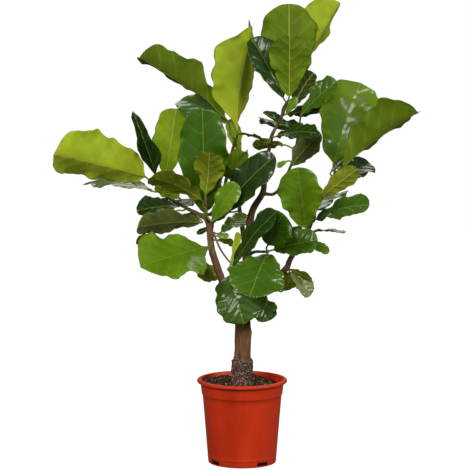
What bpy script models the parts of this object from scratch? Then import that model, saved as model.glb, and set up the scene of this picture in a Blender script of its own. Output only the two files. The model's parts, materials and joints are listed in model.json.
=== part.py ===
"""A fiddle leaf fig about 1.2 m tall in a plain terracotta-coloured nursery pot.

Metres, +Z up. The origin is the centre of the pot's underside, so the pot stands on z = 0, and -Y is
the front. The pot and the soil are turned shapes, each stem is a tapered tube along a smooth curve,
and each leaf is one closed loft from its round petiole to its flat blade. Every piece is its own
object. Stems are placed from the soil and from each other, and leaves from their stems.
"""

import math
from typing import NamedTuple

import bpy
import numpy as np

# Driving dimensions, in metres and degrees.

CLEARANCE = 0.0003  # between any two pieces that meet

POT_HEIGHT = 0.225
POT_BASE_RADIUS = 0.0905  # outside of the wall at the foot
POT_SHOULDER_RADIUS = 0.1052  # outside of the wall just under the band
POT_BAND_RADIUS = 0.1075  # outside of the band at its lower edge
POT_NECK_RADIUS = 0.111  # outside of the band at the lip
POT_RIM_RADIUS = 0.120  # outside of the rolled lip
POT_WALL = 0.0025
POT_FLOOR = 0.003
BAND_HEIGHT = 0.030
BAND_STEP = 0.002  # how far the band's lower edge slopes in height
LIP_HEIGHT = 0.010
SLOT_COUNT = 4
SLOT_WIDTH = 0.034
SLOT_TOP = 0.012  # the drain slots run from the floor up to here
SLOT_FIRST_ANGLE = -53.0  # of one slot's middle, from +X towards +Y
POT_SEGMENTS = 48
FOOT_BEVEL = 0.002  # of the pot's foot, outside
MOUTH_BEVEL = (0.002, 0.003)  # of the mouth's inner edge, inwards and downwards
LIP_ARC = (-60.0, -22.5, 15.0, 52.5, 90.0)  # angles of the rolled lip's corners

SOIL_BELOW_RIM = 0.022
SOIL_CROWN = 0.003  # how much lower the soil is at the wall
SOIL_FLAT_SHARE = 0.7  # of the bore's radius, inside which the soil is flat
PLANTING_DEPTH = 0.040  # how far the trunk's foot goes into the soil

PLANT_SCALE = 1.0  # scales the stems and the leaves, not the pot
STEM_SIDES = 10
RINGS_PER_POINT = 2

PETIOLE_RADIUS = 0.0022
LEAF_THICKNESS = 0.0012
LEAF_SIDES = 8
# Where a leaf's sections lie, as shares of the blade's length and of the petiole's.
BLADE_STATIONS = (0.05, 0.16, 0.30, 0.45, 0.60, 0.74, 0.86, 0.95)
PETIOLE_STATIONS = (0.0, 0.4, 0.8)
PETIOLE_LEAD = 0.4  # how straight a petiole leaves its stem, as a share of its length
BASE_THINNING = 8  # power by which the blade thins from the petiole's radius
MARGIN_RIPPLES = 2.5  # along a blade
WAIST_AT = 0.28  # share of the blade's length at which a fiddle-shaped leaf is drawn in
WAIST_SPREAD = 0.12


class Stem(NamedTuple):
    """A stem: its parent, where it starts on it, and its route as (x, y, z, radius) points.

    `at` counts the parent's route points from 0, and may lie between two of them. The trunk's route
    starts at the soil's surface, and every other route at the point `at` on its parent's middle line.
    """

    name: str
    parent: str
    at: float
    route: tuple
    colour: str = "bark"


class Leaf(NamedTuple):
    """A leaf: its stem, the petiole from it, the blade from base to tip, and how the blade is bent.

    `petiole` runs from the stem's middle line to the blade's base, `reach` from there to the tip, and
    `face` is the way the upper side looks. `fold` lifts both halves towards that side, in degrees, and
    `arch` bows the midrib towards it, as a share of the length. `wave` is the height of the margin's
    ripples as a share of the width, and `shape` names the outline. A leaf that has a close neighbour
    starts `aside` petiole radii along the stem from `at`.
    """

    name: str
    stem: str
    at: float
    petiole: tuple
    reach: tuple
    face: tuple
    width: float
    fold: float = 10.0
    arch: float = 0.05
    wave: float = 0.04
    shape: str = "fiddle"
    aside: float = 0.0


STEMS = (
    Stem("trunk", "", 0, (
        (0.000, 0.000, -PLANTING_DEPTH, 0.030),
        (0.000, 0.000, 0.000, 0.030),
        (0.000, 0.000, 0.040, 0.0285),
        (0.001, 0.000, 0.070, 0.0275),
        (0.001, 0.000, 0.077, 0.0225),
        (0.002, 0.000, 0.130, 0.0215),
        (0.002, 0.000, 0.185, 0.0205),
        (0.006, 0.010, 0.235, 0.017),
        (0.012, 0.020, 0.300, 0.0125),
        (0.016, 0.020, 0.390, 0.0105),
        (0.026, 0.010, 0.467, 0.009),
        (0.054, 0.000, 0.519, 0.008),
        (0.058, 0.000, 0.558, 0.0065),
        (0.056, 0.000, 0.598, 0.0055),
        (0.070, 0.000, 0.632, 0.005),
        (0.077, 0.000, 0.669, 0.0045),
        (0.102, 0.000, 0.717, 0.004),
        (0.110, 0.000, 0.743, 0.0055),
        (0.123, 0.000, 0.765, 0.003),
    )),
    Stem("limb_left", "trunk", 6, (
        (-0.040, -0.006, 0.050, 0.010),
        (-0.058, -0.010, 0.110, 0.0095),
        (-0.082, -0.010, 0.183, 0.009),
        (-0.092, 0.000, 0.257, 0.008),
        (-0.120, 0.005, 0.278, 0.0055),
        (-0.150, 0.000, 0.294, 0.0045),
        (-0.206, 0.000, 0.328, 0.004),
        (-0.235, 0.000, 0.360, 0.003),
    )),
    Stem("limb_right", "trunk", 7, (
        (0.050, -0.005, 0.030, 0.0085),
        (0.107, -0.010, 0.079, 0.008),
        (0.123, -0.010, 0.111, 0.007),
        (0.168, -0.010, 0.188, 0.0065),
        (0.181, -0.010, 0.225, 0.006),
        (0.204, -0.010, 0.273, 0.005),
        (0.252, -0.010, 0.339, 0.004),
        (0.258, -0.008, 0.350, 0.003),
    )),
    Stem("limb_back", "trunk", 8, (
        (-0.003, 0.045, 0.035, 0.008),
        (-0.008, 0.085, 0.090, 0.007),
        (-0.018, 0.125, 0.155, 0.0055),
        (-0.026, 0.155, 0.205, 0.0035),
    )),
    Stem("shoot_left", "limb_left", 4, (
        (-0.002, -0.045, 0.020, 0.003),
        (-0.005, -0.058, 0.050, 0.003),
        (-0.005, -0.062, 0.080, 0.0018),
    ), "green_stem"),
    Stem("shoot_upright", "limb_left", 3.7, (
        (0.012, 0.030, 0.030, 0.005),
        (0.036, 0.050, 0.093, 0.0045),
        (0.060, 0.040, 0.202, 0.004),
        (0.074, 0.022, 0.246, 0.003),
    )),
    Stem("twig_upper", "trunk", 11, (
        (0.029, 0.000, -0.003, 0.004),
        (0.047, 0.000, 0.016, 0.0038),
        (0.073, 0.000, 0.069, 0.0035),
        (0.086, 0.000, 0.116, 0.003),
        (0.100, 0.000, 0.205, 0.0025),
    )),
    Stem("twig_front", "trunk", 8.6, (
        (0.020, -0.030, 0.010, 0.004),
        (0.045, -0.065, 0.015, 0.0035),
        (0.055, -0.085, 0.018, 0.003),
    )),
    Stem("twig_low", "trunk", 7.9, (
        (-0.022, -0.037, 0.004, 0.0033),
        (-0.036, -0.062, 0.028, 0.003),
    )),
)

LEAVES = (
    # On the left limb, from its tip inwards.
    Leaf("far_left", "limb_left", 7.9, (-0.025, -0.005, 0.020), (-0.235, -0.080, 0.065),
         (0.1, 0.92, 0.38), 0.160, fold=16, shape="round"),
    Leaf("far_left_low", "limb_left", 7.5, (-0.010, 0.025, -0.012), (-0.190, 0.080, 0.010), (0, -0.15, 1),
         0.100),
    Leaf("far_left_curled", "limb_left", 7.6, (-0.005, 0.020, 0.030), (-0.060, 0.000, 0.170),
         (0.2, -1, 0.1), 0.110, fold=55),
    Leaf("left_pale", "limb_left", 7, (0.000, 0.050, 0.045), (0.028, 0.060, 0.175), (0, 0.95, -0.1),
         0.100),
    Leaf("left_dark", "limb_left", 6.4, (0.000, 0.025, -0.012), (-0.108, -0.020, -0.010),
         (0.1, -0.6, 0.8), 0.080),
    Leaf("left_edge", "limb_left", 6, (-0.030, 0.010, -0.010), (-0.100, 0.010, -0.090), (-0.55, 0.1, 0.8),
         0.080),
    Leaf("left_striped", "limb_left", 5, (0.010, -0.030, -0.020), (-0.165, -0.065, -0.005),
         (0, 0.75, 0.65), 0.100),
    Leaf("left_shaded", "limb_left", 4.6, (0.010, 0.045, 0.006), (-0.010, 0.125, 0.078), (0.1, -0.4, 0.9),
         0.100),
    Leaf("left_front", "limb_left", 3.3, (0.000, -0.035, -0.010), (-0.180, -0.115, -0.040),
         (-0.1, -0.75, 0.65), 0.155, shape="round"),
    Leaf("left_inner", "limb_left", 3.6, (0.030, 0.040, -0.005), (0.075, 0.060, 0.035), (-0.2, -0.6, 0.8),
         0.060),
    Leaf("center_dark", "limb_left", 4.2653286256, (0.020, -0.025, 0.005), (0.155, -0.090, 0.180),
         (-0.45, -0.75, 0.45), 0.100, aside=-5),
    Leaf("center_glossy", "limb_left", 4.2, (-0.003, -0.030, 0.020), (-0.005, -0.060, 0.280),
         (0, -1, 0.2), 0.130),
    Leaf("left_back", "limb_left", 6, (0.000, 0.030, 0.000), (-0.050, 0.230, -0.030), (0, -0.3, 0.9),
         0.140),
    # On the short shoot in front of the left fork.
    Leaf("center_olive", "shoot_left", 2.6, (0.000, -0.012, 0.012), (0.010, -0.060, 0.115),
         (0.25, 0.9, 0.3), 0.085),
    Leaf("center_striped", "shoot_left", 1.8, (-0.012, -0.005, 0.022), (-0.130, -0.060, 0.065),
         (0.05, 0.65, 0.75), 0.090),
    # On the upright shoot.
    Leaf("tall_pale", "shoot_upright", 4, (0.000, -0.016, 0.012), (0.038, -0.020, 0.280),
         (-0.57, 0.82, 0.05), 0.175, fold=35),
    Leaf("upper_left", "shoot_upright", 3.6, (-0.028, 0.000, 0.060), (-0.222, -0.090, 0.163),
         (0.38, 0.77, 0.52), 0.135, fold=40),
    Leaf("upper_left_back", "shoot_upright", 3.3, (-0.020, 0.050, 0.055), (-0.125, 0.070, 0.055),
         (0, -0.5, 0.85), 0.110),
    # On the back limb.
    Leaf("back_high", "limb_back", 4, (0.004, 0.020, 0.010), (0.030, 0.165, 0.030), (0, -0.3, 1), 0.150),
    Leaf("back_left", "limb_back", 3, (-0.025, 0.012, -0.006), (-0.150, 0.110, -0.060), (-0.1, 0.1, 1),
         0.140),
    Leaf("back_right", "limb_back", 2.6, (0.025, 0.016, -0.010), (0.150, 0.120, -0.060), (0.1, 0.1, 1),
         0.150),
    # On the low twig.
    Leaf("center_slanted", "twig_low", 1.6805846731, (0.000, -0.020, 0.010), (0.110, -0.115, 0.160),
         (-0.6, -0.6, 0.5), 0.080, aside=3),
    Leaf("center_hanging", "twig_low", 1.8, (-0.008, -0.025, -0.005), (0.035, -0.045, -0.125),
         (-0.2, -0.9, 0.35), 0.100),
    # On the front twig.
    Leaf("front_glossy", "twig_front", 3, (-0.003, -0.030, -0.002), (-0.048, -0.120, -0.095),
         (-0.1, -0.85, 0.5), 0.150),
    Leaf("front_crinkled", "twig_front", 2.6, (0.000, -0.020, 0.020), (0.040, -0.060, 0.090),
         (-0.1, -0.9, 0.45), 0.105),
    Leaf("front_right", "twig_front", 2.2, (0.020, 0.000, 0.005), (0.115, -0.030, 0.030),
         (-0.1, -0.8, 0.6), 0.080),
    # On the trunk below and above the middle.
    Leaf("low_dark", "trunk", 7.4, (0.030, -0.030, -0.010), (0.030, -0.030, -0.065), (0.1, -0.8, 0.5),
         0.070),
    Leaf("center_folded", "trunk", 11.5, (-0.055, -0.010, 0.015), (-0.055, -0.050, 0.055), (0, 0.9, 0.4),
         0.125, fold=20),
    Leaf("upper_wavy", "trunk", 14.8, (-0.006, -0.018, -0.008), (-0.085, -0.045, 0.025), (0.1, 0.15, 1),
         0.050),
    Leaf("upper_dark", "trunk", 15, (0.012, -0.010, 0.000), (0.105, -0.040, 0.012), (0, -0.5, 0.85),
         0.070),
    Leaf("upper_shaded", "trunk", 16.3, (0.012, 0.012, 0.000), (0.090, 0.060, 0.000), (0, 0.6, 0.8),
         0.090),
    Leaf("top_back", "trunk", 17.8, (0.003, 0.018, 0.012), (0.000, 0.050, 0.240), (0, 0.95, -0.2), 0.145),
    Leaf("top_front", "trunk", 17.8, (0.002, -0.015, 0.012), (0.000, -0.050, 0.160), (0.05, 0.95, 0.3),
         0.110),
    Leaf("top_narrow", "trunk", 17.6, (-0.010, -0.003, 0.012), (-0.085, 0.000, 0.155), (0.35, -0.9, 0.2),
         0.095, fold=25),
    Leaf("top_behind", "trunk", 17.4, (0.018, 0.010, -0.004), (0.055, 0.015, 0.085), (-0.3, 0.8, 0.4),
         0.070),
    Leaf("top_right", "trunk", 17.6, (0.016, 0.030, 0.003), (0.125, 0.060, 0.255), (-0.58, 0.77, 0.28),
         0.160, fold=40),
    # On the upper twig.
    Leaf("upper_pointed", "twig_upper", 5, (0.004, -0.020, 0.006), (0.088, -0.048, 0.086),
         (-0.3, -0.75, 0.6), 0.074, fold=16),
    Leaf("upper_olive", "twig_upper", 4, (-0.030, 0.012, 0.010), (-0.080, 0.035, -0.010), (0, 0.6, 0.8),
         0.055),
    Leaf("right_grey", "twig_upper", 3, (0.003, 0.025, 0.000), (0.080, 0.060, 0.080), (-0.2, 0.9, 0.4),
         0.080),
    Leaf("back_top", "trunk", 15.5, (0.000, 0.030, 0.000), (0.020, 0.210, -0.030), (0, -0.3, 1), 0.120),
    # On the right limb, from its foot outwards.
    Leaf("right_low", "limb_right", 2.3, (0.010, 0.020, -0.020), (0.055, 0.010, -0.060), (0.2, -0.7, 0.6),
         0.055),
    Leaf("right_center", "limb_right", 4, (-0.005, -0.030, 0.005), (-0.025, -0.060, 0.168),
         (-0.15, -0.95, 0.3), 0.120, fold=20),
    Leaf("right_curly", "limb_right", 4, (0.012, -0.010, -0.005), (0.080, -0.045, 0.000), (0, 0.1, 1),
         0.060),
    Leaf("right_side", "limb_right", 4.5, (0.012, -0.004, 0.006), (0.138, -0.065, 0.045),
         (-0.1, -0.6, 0.8), 0.085),
    Leaf("right_back", "limb_right", 5.2, (0.005, 0.030, 0.000), (0.030, 0.240, 0.010), (0, -0.3, 1),
         0.140),
    Leaf("right_olive", "limb_right", 5.8, (0.000, -0.022, 0.010), (0.098, -0.012, 0.078),
         (-0.1, 1, 0.15), 0.055),
    Leaf("right_shaded", "limb_right", 6.6, (0.000, 0.030, 0.000), (0.105, 0.060, 0.035), (0, -0.5, 0.85),
         0.090),
    Leaf("right_round", "limb_right", 7.4, (-0.022, 0.030, 0.012), (0.072, 0.028, 0.212),
         (-0.10, -0.95, 0.25), 0.165, shape="round"),
    Leaf("right_far", "limb_right", 8, (0.000, -0.026, 0.004), (0.190, -0.078, 0.150),
         (-0.38, 0.77, 0.51), 0.160, fold=40),
)

# Each outline is (power at the base, power at the tip, depth of the waist): see `half_width`.
OUTLINES = {"fiddle": (0.80, 0.42, 0.12), "round": (0.55, 0.45, 0.0)}

COLOURS = {
    "terracotta": ((0.42, 0.055, 0.012), 0.4),
    "soil": ((0.030, 0.018, 0.012), 0.95),
    "bark": ((0.16, 0.085, 0.04), 0.85),
    "green_stem": ((0.25, 0.30, 0.05), 0.6),
    "leaf": ((0.045, 0.14, 0.012), 0.35),
}


# Helpers


def clear_scene():
    """Remove every object of the starting scene."""
    for item in list(bpy.data.objects):
        bpy.data.objects.remove(item, do_unlink=True)


def material(name):
    """The material of this name, made on its first use."""
    found = bpy.data.materials.get(name)
    if found:
        return found
    colour, roughness = COLOURS[name]
    made = bpy.data.materials.new(name)
    made.use_nodes = True
    shader = made.node_tree.nodes["Principled BSDF"]
    shader.inputs["Base Color"].default_value = (*colour, 1.0)
    shader.inputs["Roughness"].default_value = roughness
    shader.inputs["Metallic"].default_value = 0.0
    return made


def add_object(name, points, faces, colour):
    """A smooth-shaded mesh object of these points and faces, in its material."""
    mesh = bpy.data.meshes.new(name)
    mesh.from_pydata([tuple(map(float, point)) for point in points], [], faces)
    mesh.shade_smooth()
    mesh.set_sharp_from_angle(angle=math.radians(40))
    mesh.materials.append(material(colour))
    made = bpy.data.objects.new(name, mesh)
    bpy.context.scene.collection.objects.link(made)
    return made


def unit(vector):
    """The vector at length 1."""
    vector = np.asarray(vector, float)
    return vector / np.linalg.norm(vector)


def across(vector, axis):
    """The part of a vector at right angles to an axis, at length 1."""
    axis = unit(axis)
    return unit(vector - np.dot(vector, axis) * axis)


def on_route(route, at):
    """A point of the smooth curve through a route's points, with its radius, and the curve's direction.

    It is a Catmull-Rom curve: `at` is 0 at the first point, 1 at the second, and so on.
    """
    route = np.asarray(route, float)
    last = len(route) - 1
    at = min(max(at, 0.0), float(last))
    index = min(int(at), last - 1)
    t = at - index
    before, start, end, after = (route[min(max(index + k, 0), last)] for k in (-1, 0, 1, 2))
    point = 0.5 * (
        2 * start
        + (end - before) * t
        + (2 * before - 5 * start + 4 * end - after) * t**2
        + (3 * start - before - 3 * end + after) * t**3
    )
    slope = 0.5 * (
        (end - before)
        + 2 * (2 * before - 5 * start + 4 * end - after) * t
        + 3 * (3 * start - before - 3 * end + after) * t**2
    )
    return point[:3], point[3], unit(slope[:3])


def loft(rings, tip=None):
    """Points and faces of a closed skin over rings of equally many points, an even number.

    The start is closed by a flat face, and the end too, or by a fan to the tip. Each four-cornered
    cell is cut in two along its diagonal, and the two halves of a ring are cut as mirror images, so
    that the upper and the lower wall of a thin, bent blade keep the same distance all over.
    """
    sides = len(rings[0])
    points = [point for ring in rings for point in ring]
    faces = []
    for low in range(0, (len(rings) - 1) * sides, sides):
        for k in range(sides):
            following = (k + 1) % sides
            corners = (low + k, low + following, low + sides + following, low + sides + k)
            first = 0 if k < sides // 2 else 1
            faces.append((corners[first], corners[first + 1], corners[first + 2]))
            faces.append((corners[first], corners[first + 2], corners[first - 1]))
    faces.append(tuple(range(sides - 1, -1, -1)))
    top = [len(points) - sides + k for k in range(sides)]
    if tip is None:
        faces.append(tuple(top))
    else:
        points.append(tip)
        faces += [(top[k], top[(k + 1) % sides], len(points) - 1) for k in range(sides)]
    return points, faces


def turned(profile, segments):
    """Points and faces of a closed (radius, height) outline turned about Z.

    The outline runs counter-clockwise seen with the radius to the right and Z up, and its first and
    last points lie on the axis.
    """
    points = [(0.0, 0.0, profile[0][1])]
    rings = profile[1:-1]
    for radius, height in rings:
        for k in range(segments):
            angle = 2 * math.pi * k / segments
            points.append((radius * math.cos(angle), radius * math.sin(angle), height))
    points.append((0.0, 0.0, profile[-1][1]))
    faces = []
    for k in range(segments):
        following = (k + 1) % segments
        faces.append((0, 1 + following, 1 + k))
        for ring in range(len(rings) - 1):
            low = 1 + ring * segments
            high = low + segments
            faces.append((low + k, low + following, high + following, high + k))
        top = 1 + (len(rings) - 1) * segments
        faces.append((top + k, top + following, len(points) - 1))
    return points, faces


# Pot and soil


def band_foot():
    """The height of the band's lower edge."""
    return POT_HEIGHT - LIP_HEIGHT - BAND_HEIGHT


def pot_bore(height):
    """The radius of the pot's bore at a height: it follows the outside, one wall further in."""
    heights = (POT_FLOOR, band_foot() - BAND_STEP, POT_HEIGHT)
    radii = (POT_BASE_RADIUS, POT_SHOULDER_RADIUS, POT_NECK_RADIUS)
    return float(np.interp(height, heights, radii)) - POT_WALL


def pot_profile():
    """The pot's outline: the flat underside, the tapered wall, the band, the rolled lip and the bore."""
    lip = LIP_HEIGHT / 2
    mouth = pot_bore(POT_HEIGHT)
    outline = [
        (0.0, 0.0),
        (POT_BASE_RADIUS - FOOT_BEVEL, 0.0),
        (POT_BASE_RADIUS, FOOT_BEVEL),
        (POT_SHOULDER_RADIUS, band_foot() - BAND_STEP),
        (POT_BAND_RADIUS, band_foot()),
        (POT_NECK_RADIUS, POT_HEIGHT - LIP_HEIGHT),
    ]
    for angle in map(math.radians, LIP_ARC):
        outline.append(
            (POT_RIM_RADIUS - lip + lip * math.cos(angle), POT_HEIGHT - lip + lip * math.sin(angle))
        )
    outline += [
        (mouth + MOUTH_BEVEL[0], POT_HEIGHT),
        (mouth, POT_HEIGHT - MOUTH_BEVEL[1]),
        (pot_bore(band_foot() - BAND_STEP), band_foot() - BAND_STEP),
        (pot_bore(POT_FLOOR), POT_FLOOR),
        (0.0, POT_FLOOR),
    ]
    return outline


def add_pot():
    """The pot, with its drain slots cut through the foot of the wall down to the floor."""
    pot = add_object("pot", *turned(pot_profile(), POT_SEGMENTS), "terracotta")
    for k in range(SLOT_COUNT):
        angle = math.radians(SLOT_FIRST_ANGLE + 360 * k / SLOT_COUNT)
        bpy.ops.mesh.primitive_cube_add(size=1.0)
        cutter = bpy.context.object
        cutter.name = f"slot_cutter_{k}"
        cutter.scale = (8 * POT_WALL, SLOT_WIDTH, SLOT_TOP - POT_FLOOR)
        cutter.location = (
            POT_BASE_RADIUS * math.cos(angle),
            POT_BASE_RADIUS * math.sin(angle),
            (SLOT_TOP + POT_FLOOR) / 2,
        )
        cutter.rotation_euler = (0, 0, angle)
        cutter.hide_render = True
        cutter.display_type = "WIRE"
        cut = pot.modifiers.new(f"slot_{k}", "BOOLEAN")
        cut.operation = "DIFFERENCE"
        cut.object = cutter
        cut.solver = "EXACT"


def soil_top():
    """The height of the soil's surface."""
    return POT_HEIGHT - SOIL_BELOW_RIM


def add_soil():
    """The soil, which fills the pot's bore and has the pocket that the trunk's foot fills."""
    top = soil_top()
    bottom = POT_FLOOR + CLEARANCE
    shoulder = band_foot() - BAND_STEP
    foot_radius = STEMS[0].route[0][3] * PLANT_SCALE + CLEARANCE
    pocket = top - PLANTING_DEPTH - CLEARANCE
    profile = [
        (0.0, bottom),
        (pot_bore(bottom) - CLEARANCE, bottom),
        (pot_bore(shoulder) - CLEARANCE, shoulder),
        (pot_bore(top) - CLEARANCE, top - SOIL_CROWN),
        (pot_bore(top) * SOIL_FLAT_SHARE, top),
        (foot_radius, top),
        (foot_radius, pocket),
        (0.0, pocket),
    ]
    add_object("soil", *turned(profile, POT_SEGMENTS), "soil")


# Stems


def on_tube(route, at):
    """The middle and the radius of the tube of `add_stem`, which is straight between its sections."""
    below = math.floor(at * RINGS_PER_POINT) / RINGS_PER_POINT
    share = (at - below) * RINGS_PER_POINT
    low, low_radius, _ = on_route(route, below)
    high, high_radius, _ = on_route(route, below + 1 / RINGS_PER_POINT)
    return low + (high - low) * share, low_radius + (high_radius - low_radius) * share


def seat(route, at, foot):
    """Where a piece with this foot radius starts on a stem.

    Returns the tube's middle there, its direction, and how far off the middle the piece clears the
    widest section that its foot covers.
    """
    step = foot / step_length(route, at)
    widest = max(on_tube(route, at + share * step)[1] for share in (-1, 0, 1))
    return on_tube(route, at)[0], on_route(route, at)[2], widest + CLEARANCE


def step_length(route, at):
    """How far along the stem's middle line one step of `at` leads."""
    return np.linalg.norm(on_tube(route, at + 0.5)[0] - on_tube(route, at - 0.5)[0])


def placed_routes():
    """Each stem's route in the part's frame, from its parent's surface, and the way it leaves it."""
    placed = {}
    for stem in STEMS:
        route = np.array(stem.route, float) * PLANT_SCALE
        outward = np.array([0.0, 0.0, 1.0])
        if not stem.parent:
            route[0, 2] = -PLANTING_DEPTH
            route[:, 2] += soil_top()
        else:
            middle, along, off = seat(placed[stem.parent][0], stem.at, route[0, 3])
            outward = across(route[0, :3], along)
            start = outward * off
            route = np.vstack([np.append(start, route[0, 3]), route])
            route[:, :3] += middle
        placed[stem.name] = (route, outward)
    return placed


def add_stem(stem, route, outward):
    """A tapered tube along a stem's route. Its first section lies flat against its parent's surface."""
    rings = []
    side = np.array([0.0, 1.0, 0.0])
    angles = np.arange(STEM_SIDES) * 2 * math.pi / STEM_SIDES
    for step in range((len(route) - 1) * RINGS_PER_POINT + 1):
        middle, radius, along = on_route(route, step / RINGS_PER_POINT)
        if step == 0:
            along = outward
        side = across(side, along)
        up = np.cross(along, side)
        rings.append([middle + radius * (math.cos(a) * side + math.sin(a) * up) for a in angles])
    add_object(stem.name, *loft(rings), stem.colour)


# Leaves


def half_width(shape, t):
    """The blade's half width at the share t of its length, as a share of the leaf's half width.

    It rises as a power of t, falls as a power of 1 - t to a blunt tip, and is drawn in by a waist
    below the middle.
    """
    rise, fall, waist = OUTLINES[shape]
    peak = rise / (rise + fall)
    highest = peak**rise * (1 - peak) ** fall
    pinch = 1 - waist * math.exp(-(((t - WAIST_AT) / WAIST_SPREAD) ** 2))
    return t**rise * (1 - t) ** fall / highest * pinch


def add_leaf(leaf, route):
    """One closed loft: the petiole's round sections, then the blade's thin ones, then the tip.

    A section's point at the angle a has u = cos(a) across and v = sin(a) up. Across the blade both
    halves rise by the fold's angle and the margin ripples as u squared times a sine along the blade.
    """
    stalk = PETIOLE_RADIUS * PLANT_SCALE
    half_thick = LEAF_THICKNESS / 2 * PLANT_SCALE
    at = leaf.at + leaf.aside * stalk / step_length(route, leaf.at)
    middle, along, off = seat(route, at, stalk)
    petiole = np.array(leaf.petiole) * PLANT_SCALE
    reach = np.array(leaf.reach) * PLANT_SCALE
    width = leaf.width * PLANT_SCALE
    length = np.linalg.norm(reach)
    outward = across(petiole, along)
    start = middle + outward * off
    base = middle + petiole
    normal = across(np.array(leaf.face, float), reach)
    bend = 4 * length * leaf.arch * normal
    angles = np.arange(LEAF_SIDES) * 2 * math.pi / LEAF_SIDES

    def section(centre, heading, half, thick, fold, ripple):
        up = across(normal, heading)
        out = np.cross(up, unit(heading))
        ring = []
        for a in angles:
            u = math.cos(a)
            lift = half * abs(u) * math.sin(fold) + thick * math.sin(a) + ripple * u * abs(u)
            ring.append(centre + out * half * u * math.cos(fold) + up * lift)
        return ring

    rings = []
    lead = PETIOLE_LEAD * np.linalg.norm(base - start)
    first = start + outward * lead
    second = base - unit(reach + bend) * lead
    for s in PETIOLE_STATIONS:
        left = 1 - s
        centre = left**3 * start + 3 * left**2 * s * first + 3 * left * s**2 * second + s**3 * base
        heading = left**2 * (first - start) + 2 * left * s * (second - first) + s**2 * (base - second)
        if s == 0:
            heading = outward
        rings.append(section(centre, heading, stalk, stalk, 0.0, 0.0))
    for t in BLADE_STATIONS:
        centre = base + reach * t + bend * t * (1 - t)
        heading = reach + bend * (1 - 2 * t)
        half = max(width / 2 * half_width(leaf.shape, t), stalk)
        thick = half_thick + (stalk - half_thick) * (1 - t) ** BASE_THINNING
        ripple = leaf.wave * width * math.sin(MARGIN_RIPPLES * 2 * math.pi * t)
        rings.append(section(centre, heading, half, thick, math.radians(leaf.fold), ripple))
    add_object(f"leaf_{leaf.name}", *loft(rings, base + reach), "leaf")


def main():
    """Make every piece of the plant and its pot."""
    clear_scene()
    add_pot()
    add_soil()
    routes = placed_routes()
    for stem in STEMS:
        add_stem(stem, *routes[stem.name])
    for leaf in LEAVES:
        add_leaf(leaf, routes[leaf.stem][0])


main()
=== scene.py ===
"""The looks of a potted fiddle leaf fig: pot, soil, stems, leaves and a studio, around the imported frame."""

import json
import math
from typing import NamedTuple

import bpy
import numpy as np
from bpy.props import FloatProperty, FloatVectorProperty, IntProperty, PointerProperty
from bpy.types import Operator, Panel, PropertyGroup
from mathutils import Matrix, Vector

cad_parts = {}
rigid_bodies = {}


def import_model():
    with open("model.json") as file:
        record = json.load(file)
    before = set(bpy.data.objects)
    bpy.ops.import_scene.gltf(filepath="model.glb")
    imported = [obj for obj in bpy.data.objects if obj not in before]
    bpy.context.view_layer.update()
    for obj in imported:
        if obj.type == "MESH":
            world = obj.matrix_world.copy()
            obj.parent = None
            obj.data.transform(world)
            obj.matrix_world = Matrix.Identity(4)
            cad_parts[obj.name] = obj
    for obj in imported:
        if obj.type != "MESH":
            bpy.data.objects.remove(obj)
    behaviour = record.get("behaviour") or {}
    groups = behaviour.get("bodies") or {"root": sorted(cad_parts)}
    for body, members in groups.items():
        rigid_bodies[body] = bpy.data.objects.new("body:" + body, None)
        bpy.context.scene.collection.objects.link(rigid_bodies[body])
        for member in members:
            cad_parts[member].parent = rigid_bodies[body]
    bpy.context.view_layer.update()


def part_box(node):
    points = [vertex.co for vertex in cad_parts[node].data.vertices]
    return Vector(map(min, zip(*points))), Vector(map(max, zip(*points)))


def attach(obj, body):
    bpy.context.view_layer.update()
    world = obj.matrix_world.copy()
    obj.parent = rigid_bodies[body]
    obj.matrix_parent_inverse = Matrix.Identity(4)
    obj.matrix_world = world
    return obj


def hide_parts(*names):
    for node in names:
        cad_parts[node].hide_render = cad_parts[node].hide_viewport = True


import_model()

bl_info = {
    "name": "Potted fiddle leaf fig",
    "version": (1, 0, 0),
    "blender": (4, 5, 0),
    "location": "3D View > Sidebar > Fig",
    "description": "Makes a fiddle leaf fig in a nursery pot, one group of pieces at a time",
    "category": "Add Mesh",
}

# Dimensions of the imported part, in metres and degrees.

POT_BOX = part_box("pot")
POT_HEIGHT = POT_BOX[1][2]
POT_BASE_RADIUS = 0.0905
POT_SHOULDER_RADIUS = 0.1052
POT_BAND_RADIUS = 0.1075
POT_NECK_RADIUS = 0.111
POT_RIM_RADIUS = 0.120
POT_WALL = 0.0025
POT_FLOOR = 0.003
BAND_HEIGHT = 0.030
BAND_STEP = 0.002
LIP_HEIGHT = 0.010
SLOT_COUNT = 4
SLOT_WIDTH = 0.034
SLOT_TOP = 0.012
SLOT_FIRST_ANGLE = -53.0
SOIL_BELOW_RIM = 0.022
SOIL_CROWN = 0.003
SOIL_HEAP = 0.016  # how much higher the soil is heaped at the back left
PLANTING_DEPTH = 0.040
CLEARANCE = 0.0003
PETIOLE_RADIUS = 0.0022
LEAF_THICKNESS = 0.0012
WAIST_AT = 0.28  # share of the blade's length at which a fiddle-shaped leaf is drawn in
WAIST_SPREAD = 0.12
PETIOLE_LEAD = 0.4  # share of the petiole's span over which it holds its first and last directions
RINGS_PER_POINT = 2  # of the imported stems, which are straight between their rings
SOIL_TOP = POT_HEIGHT - SOIL_BELOW_RIM
BODY = "root"

# What the looks add to the pot and the soil.

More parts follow.
